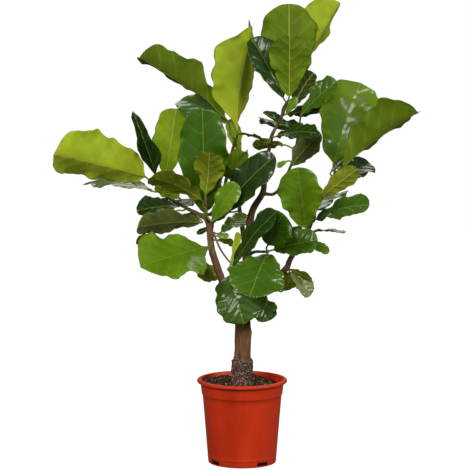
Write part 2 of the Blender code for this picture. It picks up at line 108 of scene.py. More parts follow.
FOOT_RADIUS = 0.002  # of the rounded edge under the wall
MOUTH_RADIUS = 0.0022  # of the rounded edge at the top of the bore
HOLLOW_RADIUS = 0.040  # of the shallow hollow under the floor
HOLLOW_DEPTH = 0.0015
BEAD_HEIGHTS = (0.0165, 0.0175, 0.0195, 0.021)  # of the faint bead above the foot
BEAD_DEPTH = 0.0005
SOIL_LUMPS = ((60, 0.5, 3), (160, 0.35, 4), (420, 0.25, 5))  # lumps a metre, share of the height, seed
SOIL_SIDES = 200
SOIL_RINGS = 70
CHIP_SEED = 11
CHIP_LENGTHS = (0.0010, 0.0036)
CHIP_SHAPES = ((0.7, 0.45, 0.25), (1.6, 1.0, 0.7))  # least and greatest shares of a chip's length
CHIP_TILT = 0.45
CHIP_RISE = 0.3  # of a chip's middle over the soil, as a share of its height
TRUNK_GAP = 0.003  # between the chips and the trunk
WALL_GAP = 0.004  # between the chips and the pot's wall
CHIP_TINTS = np.array([
    (0.012, 0.006, 0.004), (0.045, 0.020, 0.010), (0.110, 0.045, 0.018), (0.230, 0.120, 0.050),
    (0.480, 0.320, 0.170), (0.580, 0.470, 0.300), (0.130, 0.120, 0.030),
])
CHIP_SHARES = (0.20, 0.17, 0.17, 0.17, 0.15, 0.07, 0.07)

# What the looks add to the stems.

RING_SPACING = 0.0028
TRUNK_FIRST = 0.55  # place on the trunk's route where its skin begins, inside the soil
TRUNK_SIDES = 72
LIMB_SIDES = 36
LIMB_SUNK = 0.55  # how far a limb reaches into its parent, as a share of its radius
SPUR_SIDES = 16
NODE_SPACING = 0.021  # between the raised rings of old leaf scars
FLARE = 0.45  # swelling at a limb's foot, as a share of its radius
COLLAR_TOP = 0.075  # height of the corky collar over the soil
COLLAR_FADE = 0.0035
KNOT_HEIGHT = 0.352
KNOT_SPREAD = 0.010
KNOT_DEPTH = 0.0022
KNOT_TURN = 1.1
GREEN_FROM = 0.48  # height at which the trunk's bark begins to turn green
GREEN_OVER = 0.22
SPUR_TINT = (0.14, 0.10, 0.035)

# What the looks add to the leaves.

LEAF_SEED = 100
LEAF_COLUMNS = 24  # faces across each side of a blade
BLADE_ROWS = 58
PETIOLE_ROWS = 8
PETIOLE_SUNK = 0.0012  # how far a petiole reaches into its stem
PETIOLE_TINT = np.array([0.17, 0.21, 0.035])
TIP_HALF_WIDTH = 0.004
VEIN_PAIRS = 5.6
VEIN_SLOPE = 0.62  # how far a side vein rises towards the tip, for each metre outwards
VEIN_CURVE = 0.38
VEIN_STAGGER = 0.25  # between the two sides' veins, in vein pairs
VEIN_SPREAD = 0.0035  # half width of the furrow over a side vein
SWELL_FULL_AT = 0.02  # half width at which the blade swells fully between its side veins
BLADE_OPEN_AT = 0.04  # share of the blade over which the petiole's round section turns flat
RIB_DEPTH = 0.0019
RIB_SPREAD = 0.0022
RIB_ABOVE = 0.35  # share of the rib's depth by which it is sunk in the upper side
LOBES = (0.060, 0.040)  # depths of the margin's slow and quick lobes, as shares of the half width
LOBE_RATES = (2.1, 4.7)  # lobes along the blade
WAVE_RATE = 2.5
RUFFLE_RATES = (3.6, 6.2, 10.5)
CUP = 0.0325  # height of the blade's broad hollows, as a share of its length
CUP_RATE = 14  # hollows a metre

# The studio: lamps are (name, place, size, share of the key light's power, colour).

CAMERA_PLACE = (-0.019, -6.5, 1.45)
CAMERA_AIM = (-0.019, 0.0, 0.61)
LAMP_AIM = (0.0, 0.0, 0.65)
LAMPS = (
    ("key_softbox", (-2.2, -2.6, 2.9), 1.1, 1.0, (1.0, 0.97, 0.91)),
    ("right_softbox", (2.8, -1.6, 1.9), 1.2, 0.7, (1.0, 0.98, 0.93)),
    ("back_softbox", (0.3, 2.6, 2.8), 1.8, 0.4, (1.0, 1.0, 0.95)),
    ("front_softbox", (-0.7, -4.4, 2.4), 1.3, 1.05, (1.0, 0.98, 0.93)),
)
AIR_LIGHT = (0.13, 0.125, 0.11)
AIR_SEEN = (1.0, 1.0, 1.0)


class Stem(NamedTuple):
    """A stem: its parent, where it starts on it, and its route as (x, y, z, radius) points.

    `at` counts the parent's route points from 0, and may lie between two of them. The trunk's route
    starts at the soil's surface, and every other route at the point `at` on its parent's middle line.
    """

    name: str
    parent: str
    at: float
    route: tuple
    colour: str = "bark"


class Leaf(NamedTuple):
    """A leaf: its stem, the petiole from it, the blade from base to tip, and how the blade is bent.

    `petiole` runs from the stem's middle line to the blade's base, `reach` from there to the tip, and
    `face` is the way the upper side looks. `fold` lifts both halves towards that side, in degrees, and
    `arch` bows the midrib towards it, as a share of the length. `wave` is the height of the margin's
    ripples as a share of the width, and `shape` names the outline. A leaf that has a close neighbour
    starts `aside` petiole radii along the stem from `at`.
    """

    name: str
    stem: str
    at: float
    petiole: tuple
    reach: tuple
    face: tuple
    width: float
    fold: float = 10.0
    arch: float = 0.05
    wave: float = 0.04
    shape: str = "fiddle"
    aside: float = 0.0


STEMS = (
    Stem("trunk", "", 0, (
        (0.000, 0.000, -PLANTING_DEPTH, 0.030),
        (0.000, 0.000, 0.000, 0.030),
        (0.000, 0.000, 0.040, 0.0285),
        (0.001, 0.000, 0.070, 0.0275),
        (0.001, 0.000, 0.077, 0.0225),
        (0.002, 0.000, 0.130, 0.0215),
        (0.002, 0.000, 0.185, 0.0205),
        (0.006, 0.010, 0.235, 0.017),
        (0.012, 0.020, 0.300, 0.0125),
        (0.016, 0.020, 0.390, 0.0105),
        (0.026, 0.010, 0.467, 0.009),
        (0.054, 0.000, 0.519, 0.008),
        (0.058, 0.000, 0.558, 0.0065),
        (0.056, 0.000, 0.598, 0.0055),
        (0.070, 0.000, 0.632, 0.005),
        (0.077, 0.000, 0.669, 0.0045),
        (0.102, 0.000, 0.717, 0.004),
        (0.110, 0.000, 0.743, 0.0055),
        (0.123, 0.000, 0.765, 0.003),
    )),
    Stem("limb_left", "trunk", 6, (
        (-0.040, -0.006, 0.050, 0.010),
        (-0.058, -0.010, 0.110, 0.0095),
        (-0.082, -0.010, 0.183, 0.009),
        (-0.092, 0.000, 0.257, 0.008),
        (-0.120, 0.005, 0.278, 0.0055),
        (-0.150, 0.000, 0.294, 0.0045),
        (-0.206, 0.000, 0.328, 0.004),
        (-0.235, 0.000, 0.360, 0.003),
    )),
    Stem("limb_right", "trunk", 7, (
        (0.050, -0.005, 0.030, 0.0085),
        (0.107, -0.010, 0.079, 0.008),
        (0.123, -0.010, 0.111, 0.007),
        (0.168, -0.010, 0.188, 0.0065),
        (0.181, -0.010, 0.225, 0.006),
        (0.204, -0.010, 0.273, 0.005),
        (0.252, -0.010, 0.339, 0.004),
        (0.258, -0.008, 0.350, 0.003),
    )),
    Stem("limb_back", "trunk", 8, (
        (-0.003, 0.045, 0.035, 0.008),
        (-0.008, 0.085, 0.090, 0.007),
        (-0.018, 0.125, 0.155, 0.0055),
        (-0.026, 0.155, 0.205, 0.0035),
    )),
    Stem("shoot_left", "limb_left", 4, (
        (-0.002, -0.045, 0.020, 0.003),
        (-0.005, -0.058, 0.050, 0.003),
        (-0.005, -0.062, 0.080, 0.0018),
    ), "green_stem"),
    Stem("shoot_upright", "limb_left", 3.7, (
        (0.012, 0.030, 0.030, 0.005),
        (0.036, 0.050, 0.093, 0.0045),
        (0.060, 0.040, 0.202, 0.004),
        (0.074, 0.022, 0.246, 0.003),
    )),
    Stem("twig_upper", "trunk", 11, (
        (0.029, 0.000, -0.003, 0.004),
        (0.047, 0.000, 0.016, 0.0038),
        (0.073, 0.000, 0.069, 0.0035),
        (0.086, 0.000, 0.116, 0.003),
        (0.100, 0.000, 0.205, 0.0025),
    )),
    Stem("twig_front", "trunk", 8.6, (
        (0.020, -0.030, 0.010, 0.004),
        (0.045, -0.065, 0.015, 0.0035),
        (0.055, -0.085, 0.018, 0.003),
    )),
    Stem("twig_low", "trunk", 7.9, (
        (-0.022, -0.037, 0.004, 0.0033),
        (-0.036, -0.062, 0.028, 0.003),
    )),
)

LEAVES = (
    # On the left limb, from its tip inwards.
    Leaf("far_left", "limb_left", 7.9, (-0.025, -0.005, 0.020), (-0.235, -0.080, 0.065),
         (0.1, 0.92, 0.38), 0.160, fold=16, shape="round"),
    Leaf("far_left_low", "limb_left", 7.5, (-0.010, 0.025, -0.012), (-0.190, 0.080, 0.010), (0, -0.15, 1),
         0.100),
    Leaf("far_left_curled", "limb_left", 7.6, (-0.005, 0.020, 0.030), (-0.060, 0.000, 0.170),
         (0.2, -1, 0.1), 0.110, fold=55),
    Leaf("left_pale", "limb_left", 7, (0.000, 0.050, 0.045), (0.028, 0.060, 0.175), (0, 0.95, -0.1),
         0.100),
    Leaf("left_dark", "limb_left", 6.4, (0.000, 0.025, -0.012), (-0.108, -0.020, -0.010),
         (0.1, -0.6, 0.8), 0.080),
    Leaf("left_edge", "limb_left", 6, (-0.030, 0.010, -0.010), (-0.100, 0.010, -0.090), (-0.55, 0.1, 0.8),
         0.080),
    Leaf("left_striped", "limb_left", 5, (0.010, -0.030, -0.020), (-0.165, -0.065, -0.005),
         (0, 0.75, 0.65), 0.100),
    Leaf("left_shaded", "limb_left", 4.6, (0.010, 0.045, 0.006), (-0.010, 0.125, 0.078), (0.1, -0.4, 0.9),
         0.100),
    Leaf("left_front", "limb_left", 3.3, (0.000, -0.035, -0.010), (-0.180, -0.115, -0.040),
         (-0.1, -0.75, 0.65), 0.155, shape="round"),
    Leaf("left_inner", "limb_left", 3.6, (0.030, 0.040, -0.005), (0.075, 0.060, 0.035), (-0.2, -0.6, 0.8),
         0.060),
    Leaf("center_dark", "limb_left", 4.2653286256, (0.020, -0.025, 0.005), (0.155, -0.090, 0.180),
         (-0.45, -0.75, 0.45), 0.100, aside=-5),
    Leaf("center_glossy", "limb_left", 4.2, (-0.003, -0.030, 0.020), (-0.005, -0.060, 0.280),
         (0, -1, 0.2), 0.130),
    Leaf("left_back", "limb_left", 6, (0.000, 0.030, 0.000), (-0.050, 0.230, -0.030), (0, -0.3, 0.9),
         0.140),
    # On the short shoot in front of the left fork.
    Leaf("center_olive", "shoot_left", 2.6, (0.000, -0.012, 0.012), (0.010, -0.060, 0.115),
         (0.25, 0.9, 0.3), 0.085),
    Leaf("center_striped", "shoot_left", 1.8, (-0.012, -0.005, 0.022), (-0.130, -0.060, 0.065),
         (0.05, 0.65, 0.75), 0.090),
    # On the upright shoot.
    Leaf("tall_pale", "shoot_upright", 4, (0.000, -0.016, 0.012), (0.038, -0.020, 0.280),
         (-0.57, 0.82, 0.05), 0.175, fold=35),
    Leaf("upper_left", "shoot_upright", 3.6, (-0.028, 0.000, 0.060), (-0.222, -0.090, 0.163),
         (0.38, 0.77, 0.52), 0.135, fold=40),
    Leaf("upper_left_back", "shoot_upright", 3.3, (-0.020, 0.050, 0.055), (-0.125, 0.070, 0.055),
         (0, -0.5, 0.85), 0.110),
    # On the back limb.
    Leaf("back_high", "limb_back", 4, (0.004, 0.020, 0.010), (0.030, 0.165, 0.030), (0, -0.3, 1), 0.150),
    Leaf("back_left", "limb_back", 3, (-0.025, 0.012, -0.006), (-0.150, 0.110, -0.060), (-0.1, 0.1, 1),
         0.140),
    Leaf("back_right", "limb_back", 2.6, (0.025, 0.016, -0.010), (0.150, 0.120, -0.060), (0.1, 0.1, 1),
         0.150),
    # On the low twig.
    Leaf("center_slanted", "twig_low", 1.6805846731, (0.000, -0.020, 0.010), (0.110, -0.115, 0.160),
         (-0.6, -0.6, 0.5), 0.080, aside=3),
    Leaf("center_hanging", "twig_low", 1.8, (-0.008, -0.025, -0.005), (0.035, -0.045, -0.125),
         (-0.2, -0.9, 0.35), 0.100),
    # On the front twig.
    Leaf("front_glossy", "twig_front", 3, (-0.003, -0.030, -0.002), (-0.048, -0.120, -0.095),
         (-0.1, -0.85, 0.5), 0.150),
    Leaf("front_crinkled", "twig_front", 2.6, (0.000, -0.020, 0.020), (0.040, -0.060, 0.090),
         (-0.1, -0.9, 0.45), 0.105),
    Leaf("front_right", "twig_front", 2.2, (0.020, 0.000, 0.005), (0.115, -0.030, 0.030),
         (-0.1, -0.8, 0.6), 0.080),
    # On the trunk below and above the middle.
    Leaf("low_dark", "trunk", 7.4, (0.030, -0.030, -0.010), (0.030, -0.030, -0.065), (0.1, -0.8, 0.5),
         0.070),
    Leaf("center_folded", "trunk", 11.5, (-0.055, -0.010, 0.015), (-0.055, -0.050, 0.055), (0, 0.9, 0.4),
         0.125, fold=20),
    Leaf("upper_wavy", "trunk", 14.8, (-0.006, -0.018, -0.008), (-0.085, -0.045, 0.025), (0.1, 0.15, 1),
         0.050),
    Leaf("upper_dark", "trunk", 15, (0.012, -0.010, 0.000), (0.105, -0.040, 0.012), (0, -0.5, 0.85),
         0.070),
    Leaf("upper_shaded", "trunk", 16.3, (0.012, 0.012, 0.000), (0.090, 0.060, 0.000), (0, 0.6, 0.8),
         0.090),
    Leaf("top_back", "trunk", 17.8, (0.003, 0.018, 0.012), (0.000, 0.050, 0.240), (0, 0.95, -0.2), 0.145),
    Leaf("top_front", "trunk", 17.8, (0.002, -0.015, 0.012), (0.000, -0.050, 0.160), (0.05, 0.95, 0.3),
         0.110),
    Leaf("top_narrow", "trunk", 17.6, (-0.010, -0.003, 0.012), (-0.085, 0.000, 0.155), (0.35, -0.9, 0.2),
         0.095, fold=25),
    Leaf("top_behind", "trunk", 17.4, (0.018, 0.010, -0.004), (0.055, 0.015, 0.085), (-0.3, 0.8, 0.4),
         0.070),
    Leaf("top_right", "trunk", 17.6, (0.016, 0.030, 0.003), (0.125, 0.060, 0.255), (-0.58, 0.77, 0.28),
         0.160, fold=40),
    # On the upper twig.
    Leaf("upper_pointed", "twig_upper", 5, (0.004, -0.020, 0.006), (0.088, -0.048, 0.086),
         (-0.3, -0.75, 0.6), 0.074, fold=16),
    Leaf("upper_olive", "twig_upper", 4, (-0.030, 0.012, 0.010), (-0.080, 0.035, -0.010), (0, 0.6, 0.8),
         0.055),
    Leaf("right_grey", "twig_upper", 3, (0.003, 0.025, 0.000), (0.080, 0.060, 0.080), (-0.2, 0.9, 0.4),
         0.080),
    Leaf("back_top", "trunk", 15.5, (0.000, 0.030, 0.000), (0.020, 0.210, -0.030), (0, -0.3, 1), 0.120),
    # On the right limb, from its foot outwards.
    Leaf("right_low", "limb_right", 2.3, (0.010, 0.020, -0.020), (0.055, 0.010, -0.060), (0.2, -0.7, 0.6),
         0.055),
    Leaf("right_center", "limb_right", 4, (-0.005, -0.030, 0.005), (-0.025, -0.060, 0.168),
         (-0.15, -0.95, 0.3), 0.120, fold=20),
    Leaf("right_curly", "limb_right", 4, (0.012, -0.010, -0.005), (0.080, -0.045, 0.000), (0, 0.1, 1),
         0.060),
    Leaf("right_side", "limb_right", 4.5, (0.012, -0.004, 0.006), (0.138, -0.065, 0.045),
         (-0.1, -0.6, 0.8), 0.085),
    Leaf("right_back", "limb_right", 5.2, (0.005, 0.030, 0.000), (0.030, 0.240, 0.010), (0, -0.3, 1),
         0.140),
    Leaf("right_olive", "limb_right", 5.8, (0.000, -0.022, 0.010), (0.098, -0.012, 0.078),
         (-0.1, 1, 0.15), 0.055),
    Leaf("right_shaded", "limb_right", 6.6, (0.000, 0.030, 0.000), (0.105, 0.060, 0.035), (0, -0.5, 0.85),
         0.090),
    Leaf("right_round", "limb_right", 7.4, (-0.022, 0.030, 0.012), (0.072, 0.028, 0.212),
         (-0.10, -0.95, 0.25), 0.165, shape="round"),
    Leaf("right_far", "limb_right", 8, (0.000, -0.026, 0.004), (0.190, -0.078, 0.150),
         (-0.38, 0.77, 0.51), 0.160, fold=40),
)


# Each outline is (power at the base, power at the tip, depth of the waist): see `half_width`.
OUTLINES = {"fiddle": (0.80, 0.42, 0.12), "round": (0.55, 0.45, 0.0)}

# Linear colours that a leaf's upper or under side may have. They are partly the leaves' own greens and partly
# painted light and shade: the pale, lime and spring under sides paint light shining through backlit leaves,
# and deep and dusk paint the shade on leaves that sit in shadow.
TINTS = {
    "deep": (0.012, 0.045, 0.001),
    "mid": (0.045, 0.130, 0.001),
    "bright": (0.105, 0.225, 0.002),
    "spring": (0.104, 0.175, 0.003),
    "lime": (0.210, 0.340, 0.003),
    "pale": (0.335, 0.450, 0.018),
    "olive": (0.180, 0.240, 0.010),
    "grey": (0.140, 0.180, 0.040),
    "silver": (0.260, 0.340, 0.120),
    "dusk": (0.045, 0.072, 0.009),
}

# Upper side and under side of each leaf that differs from the usual ones. These are painted light and shade
# as much as the leaves' own greens: leaves in light or lit from behind get the lighter tints, and leaves in
# shade the darker ones.
USUAL_LOOK = ("mid", "olive")
LOOKS = {
    "far_left": ("mid", "pale"),
    "far_left_low": ("bright", "olive"),
    "far_left_curled": ("deep", "lime"),
    "left_pale": ("mid", "lime"),
    "left_dark": ("deep", "olive"),
    "left_striped": ("mid", "grey"),
    "left_shaded": ("deep", "dusk"),
    "left_front": ("bright", "olive"),
    "left_inner": ("bright", "olive"),
    "center_dark": ("deep", "olive"),
    "center_slanted": ("deep", "olive"),
    "tall_pale": ("mid", "pale"),
    "upper_left": ("mid", "spring"),
    "center_folded": ("mid", "spring"),
    "upper_dark": ("deep", "olive"),
    "upper_shaded": ("deep", "dusk"),
    "top_back": ("mid", "spring"),
    "top_front": ("mid", "spring"),
    "top_right": ("mid", "pale"),
    "top_behind": ("deep", "dusk"),
    "right_center": ("bright", "olive"),
    "right_round": ("bright", "olive"),
    "right_grey": ("mid", "grey"),
    "right_far": ("mid", "spring"),
    "right_shaded": ("deep", "dusk"),
    "right_low": ("silver", "olive"),
    "top_narrow": ("deep", "olive"),
    "left_lime": ("mid", "lime"),
    "low_left_bright": ("lime", "olive"),
    "inner_dark_low": ("deep", "olive"),
    "center_lime": ("mid", "lime"),
    "center_bright": ("bright", "olive"),
    "bud_leaf_low": ("bright", "olive"),
    "front_pale_strip": ("mid", "pale"),
    "right_lime_low": ("mid", "lime"),
    "right_olive_mid": ("bright", "olive"),
    "upper_twisted": ("deep", "olive"),
    "upper_tiny": ("bright", "olive"),
    "mid_tiny": ("bright", "olive"),
    "bud_side_leaf": ("bright", "olive"),
    "right_lobe": ("deep", "olive"),
    "upper_back_lobe": ("deep", "grey"),
}

# Margins of leaves with lobes of their own: places along the blade, then the two sides' half widths
# there as shares of the leaf's half width.
MARGINS = {
    "left_front": (
        (0.0, 0.1, 0.2, 0.3, 0.4, 0.5, 0.58, 0.66, 0.76, 0.86, 0.94, 1.0),
        (0.0, 0.20, 0.45, 1.05, 1.38, 1.32, 0.98, 0.92, 1.02, 0.86, 0.52, 0.0),
        (0.0, 0.12, 0.45, 0.62, 0.80, 0.95, 1.05, 1.08, 1.05, 0.88, 0.55, 0.0),
    ),
    "far_left": (
        (0.0, 0.06, 0.15, 0.3, 0.45, 0.6, 0.75, 0.87, 0.95, 1.0),
        (0.0, 0.40, 0.62, 0.82, 0.96, 1.04, 1.02, 0.86, 0.58, 0.0),
        (0.0, 0.36, 0.50, 0.62, 0.76, 0.84, 0.82, 0.72, 0.50, 0.0),
    ),
    "far_left_curled": (
        (0.0, 0.15, 0.3, 0.45, 0.6, 0.75, 0.9, 1.0),
        (0.0, 0.40, 0.80, 0.95, 0.62, 0.45, 0.42, 0.0),
        (0.0, 0.50, 0.85, 0.70, 0.50, 0.40, 0.30, 0.0),
    ),
    "tall_pale": (
        (0.0, 0.1, 0.2, 0.3, 0.4, 0.5, 0.6, 0.7, 0.8, 0.9, 0.96, 1.0),
        (0.0, 0.22, 0.48, 0.72, 0.92, 1.02, 1.0, 0.90, 0.70, 0.42, 0.20, 0.0),
        (0.0, 0.22, 0.48, 0.72, 0.92, 1.02, 1.0, 0.90, 0.70, 0.42, 0.20, 0.0),
    ),
    "center_hanging": (
        (0.0, 0.06, 0.15, 0.25, 0.4, 0.55, 0.7, 0.8, 0.88, 0.95, 1.0),
        (0.0, 0.55, 0.98, 1.15, 1.25, 1.45, 1.55, 1.42, 1.10, 0.65, 0.0),
        (0.0, 0.55, 0.95, 1.02, 1.05, 1.12, 1.15, 1.05, 0.85, 0.50, 0.0),
    ),
    "right_round": (
        (0.0, 0.1, 0.25, 0.4, 0.52, 0.6, 0.7, 0.8, 0.88, 0.95, 1.0),
        (0.0, 0.35, 0.62, 0.80, 0.92, 0.86, 1.08, 1.05, 0.95, 0.62, 0.0),
        (0.0, 0.35, 0.62, 0.80, 0.95, 1.00, 0.90, 1.02, 0.80, 0.60, 0.0),
    ),
}

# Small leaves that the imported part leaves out: name, base, reach, face, width, fold and shape.
SPRIGS = (
    ("left_lime", (-0.166, -0.045, 0.714), (-0.059, -0.030, 0.035), (0.1, 0.9, 0.3),
     0.045, 12, "round"),
    ("low_left_bright", (-0.054, 0.020, 0.503), (-0.066, -0.020, 0.006), (0, -0.95, 0.3),
     0.048, 10, "round"),
    ("inner_dark_low", (-0.080, 0.030, 0.625), (-0.040, -0.010, -0.015), (0, -0.6, 0.8),
     0.021, 10, "fiddle"),
    ("center_lime", (-0.006, 0.030, 0.827), (-0.026, 0.020, 0.086), (0, 0.95, 0.1),
     0.040, 10, "fiddle"),
    ("center_bright", (-0.077, -0.060, 0.655), (0.065, -0.040, 0.102), (-0.2, -0.9, 0.4),
     0.063, 10, "fiddle"),
    ("bud_leaf_low", (-0.069, -0.020, 0.610), (0.034, -0.010, 0.001), (0, -0.9, 0.3),
     0.018, 10, "fiddle"),
    ("center_olive_low", (-0.069, 0.010, 0.595), (0.053, -0.010, -0.015), (0, 0.6, 0.7),
     0.034, 10, "fiddle"),
    ("front_pale_strip", (-0.032, -0.070, 0.537), (0.021, -0.010, 0.091), (0.5, 0.8, 0),
     0.024, 10, "fiddle"),
    ("right_lime_low", (0.109, 0.030, 0.458), (0.034, -0.010, 0.047), (0, 0.9, 0.2),
     0.045, 10, "round"),
    ("right_olive_low", (0.122, 0.020, 0.516), (0.063, -0.020, -0.027), (0, 0.7, 0.6),
     0.029, 10, "fiddle"),
    ("right_olive_mid", (0.179, 0.000, 0.589), (0.050, -0.010, -0.025), (0, -0.6, 0.7),
     0.034, 10, "round"),
    ("upper_twisted", (0.152, 0.020, 0.873), (-0.098, -0.020, 0.060), (0.2, -0.6, 0.7),
     0.034, 30, "fiddle"),
    ("upper_tiny", (0.118, -0.010, 0.807), (-0.026, -0.010, -0.015), (0, -0.7, 0.6),
     0.018, 10, "fiddle"),
    ("mid_tiny", (0.129, 0.000, 0.687), (-0.027, -0.010, 0.017), (0, -0.8, 0.5),
     0.018, 10, "fiddle"),
    ("bud_side_leaf", (0.115, 0.000, 0.930), (0.028, -0.010, 0.045), (0, -0.9, 0.2),
     0.024, 10, "fiddle"),
    ("right_lobe", (0.235, 0.030, 0.774), (0.037, 0.000, 0.037), (0, -0.7, 0.6),
     0.024, 10, "fiddle"),
    ("upper_back_lobe", (0.184, 0.030, 0.965), (0.037, 0.000, 0.026), (0, -0.7, 0.6),
     0.026, 10, "fiddle"),
)

# Buds and leafless twigs: name, and (x, y, z, radius) points from the stem outwards.
SPURS = (
    ("top_bud", (
        (0.107, 0.000, 0.925, 0.002), (0.108, 0.000, 0.936, 0.004), (0.112, 0.000, 0.957, 0.0006),
    )),
    ("middle_bud", (
        (0.076, 0.006, 0.850, 0.002), (0.079, 0.010, 0.868, 0.0035), (0.086, 0.010, 0.889, 0.0006),
    )),
    ("left_bud", (
        (-0.093, -0.066, 0.690, 0.002), (-0.095, -0.070, 0.706, 0.004), (-0.095, -0.070, 0.732, 0.0006),
    )),
    ("upright_stub", (
        (0.020, 0.000, 1.150, 0.0025), (0.019, 0.000, 1.165, 0.003), (0.018, 0.000, 1.177, 0.0008),
    )),
    ("hanging_twig", (
        (-0.077, -0.020, 0.621, 0.003), (-0.053, -0.040, 0.570, 0.0026), (-0.014, -0.060, 0.525, 0.002),
    )),
    ("thin_twig", (
        (0.096, 0.000, 0.716, 0.002), (0.118, 0.000, 0.695, 0.0016), (0.150, 0.000, 0.645, 0.001),
    )),
)

# Colours of each stem's bark at its foot and further out; a stem turns greener towards its tip.
STEM_TINTS = {
    "trunk": ((0.145, 0.070, 0.030), (0.060, 0.050, 0.018)),
    "limb_left": ((0.270, 0.115, 0.070), (0.070, 0.060, 0.022)),
    "limb_right": ((0.050, 0.024, 0.020), (0.060, 0.060, 0.020)),
    "limb_back": ((0.110, 0.060, 0.035), (0.060, 0.060, 0.020)),
    "shoot_left": ((0.160, 0.190, 0.035), (0.170, 0.210, 0.035)),
    "shoot_upright": ((0.075, 0.060, 0.025), (0.090, 0.110, 0.025)),
    "twig_upper": ((0.060, 0.050, 0.022), (0.100, 0.120, 0.030)),
    "twig_front": ((0.070, 0.055, 0.025), (0.120, 0.140, 0.030)),
    "twig_low": ((0.070, 0.055, 0.025), (0.120, 0.140, 0.030)),
}


# Sizes and colours that a user may change


class FigPotSettings(PropertyGroup):
    """The nursery pot."""

    clay: FloatVectorProperty(
        name="Clay colour", description="Colour of the pot's plastic", subtype="COLOR",
        size=3, min=0.0, max=1.0, default=(0.62, 0.031, 0.001),
    )
    segments: IntProperty(
        name="Segments", description="Faces round the pot", default=180, min=48, max=360,
    )


class FigSoilSettings(PropertyGroup):
    """The potting soil and the bits that lie on it."""

    colour: FloatVectorProperty(
        name="Soil colour", description="Colour of the damp soil", subtype="COLOR",
        size=3, min=0.0, max=1.0, default=(0.024, 0.011, 0.006),
    )
    lumps: FloatProperty(
        name="Lumps", description="Height of the soil's lumps", unit="LENGTH",
        subtype="DISTANCE", default=0.004, min=0.0, max=0.01,
    )
    bits: IntProperty(
        name="Bits", description="Chips and crumbs lying on the soil", default=700, min=0, max=1500,
    )


class FigStemSettings(PropertyGroup):
    """The trunk, limbs and twigs."""

    bark_depth: FloatProperty(
        name="Bark depth", description="Height of the bark's ridges on the trunk", unit="LENGTH",
        subtype="DISTANCE", default=0.0009, min=0.0, max=0.004,
    )
    collar_depth: FloatProperty(
        name="Collar depth", description="Height of the rough collar's lumps", unit="LENGTH",
        subtype="DISTANCE", default=0.0022, min=0.0, max=0.005,
    )


class FigLeafSettings(PropertyGroup):
    """The leaves."""

    vein_relief: FloatProperty(
        name="Vein relief", description="How far the blade swells between its side veins", unit="LENGTH",
        subtype="DISTANCE", default=0.0015, min=0.0, max=0.005,
    )
    ruffle: FloatProperty(
        name="Ruffle", description="Height of the margin's small waves as a share of the width",
        default=0.022, min=0.0, max=0.1,
    )
    gloss: FloatProperty(
        name="Roughness", description="Roughness of the upper side's wax", subtype="FACTOR",
        default=0.19, min=0.05, max=1.0,
    )


class FigStageSettings(PropertyGroup):
    """The floor, the lights and the camera."""

    floor_size: FloatProperty(
        name="Floor size", description="Side of the floor", unit="LENGTH", subtype="DISTANCE",
        default=120.0, min=10.0, max=400.0,
    )
    key_power: FloatProperty(
        name="Key light", description="Power of the soft light at the front left", default=76.0, min=0.0,
    )
    field_of_view: FloatProperty(
        name="Field of view", description="The camera's angle of view", unit="ROTATION",
        subtype="ANGLE", default=math.radians(10.824), min=0.05, max=2.0,
    )


# Curves


def unit(vectors):
    """Vectors at length 1."""
    vectors = np.asarray(vectors, float)
    return vectors / np.linalg.norm(vectors, axis=-1, keepdims=True)


def across(vectors, axes):
    """The parts of vectors at right angles to axes, at length 1."""
    axes = unit(axes)
    vectors = np.asarray(vectors, float)
    return unit(vectors - np.sum(vectors * axes, axis=-1, keepdims=True) * axes)


def on_route(route, at):
    """Points, radii and directions of the smooth curve through a route's points, at the places `at`.

    It is a Catmull-Rom curve: a place is 0 at the first point, 1 at the second, and so on.
    """
    route = np.asarray(route, float)
    last = len(route) - 1
    at = np.clip(np.asarray(at, float), 0.0, last)
    index = np.minimum(at.astype(int), last - 1)
    t = (at - index)[..., None]
    before, start, end, after = (route[np.clip(index + k, 0, last)] for k in (-1, 0, 1, 2))
    second = 2 * before - 5 * start + 4 * end - after
    third = 3 * start - before - 3 * end + after
    point = 0.5 * (2 * start + (end - before) * t + second * t**2 + third * t**3)
    slope = 0.5 * (end - before + 2 * second * t + 3 * third * t**2)
    return point[..., :3], point[..., 3], unit(slope[..., :3])


def on_tube(route, at):
    """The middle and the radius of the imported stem, which is straight between its rings."""
    below = math.floor(at * RINGS_PER_POINT) / RINGS_PER_POINT
    share = (at - below) * RINGS_PER_POINT
    low, low_radius, _ = on_route(route, below)
    high, high_radius, _ = on_route(route, below + 1 / RINGS_PER_POINT)
    return low + (high - low) * share, low_radius + (high_radius - low_radius) * share


def step_length(route, at):
    """How far along the stem's middle line one step of `at` leads."""
    return np.linalg.norm(on_tube(route, at + 0.5)[0] - on_tube(route, at - 0.5)[0])


def seat(route, at, foot):
    """Where a piece of this foot radius starts on a stem.

    Returns the stem's middle there, its direction, and how far off the middle the piece starts.
    """
    step = foot / step_length(route, at)
    widest = max(on_tube(route, at + share * step)[1] for share in (-1, 0, 1))
    return on_tube(route, at)[0], on_route(route, at)[2], widest + CLEARANCE


def placed_routes():
    """Each stem's route in the part's frame, from its parent's surface, and the way it leaves it."""
    placed = {}
    for stem in STEMS:
        route = np.array(stem.route, float)
        outward = np.array([0.0, 0.0, 1.0])
        if not stem.parent:
            route[:, 2] += SOIL_TOP
        else:
            middle, along, off = seat(placed[stem.parent][0], stem.at, route[0, 3])
            outward = across(route[0, :3], along)
            route = np.vstack([np.append(outward * off, route[0, 3]), route])
            route[:, :3] += middle
        placed[stem.name] = (route, outward)
    return placed


ROUTES = placed_routes()


# Noise and skins


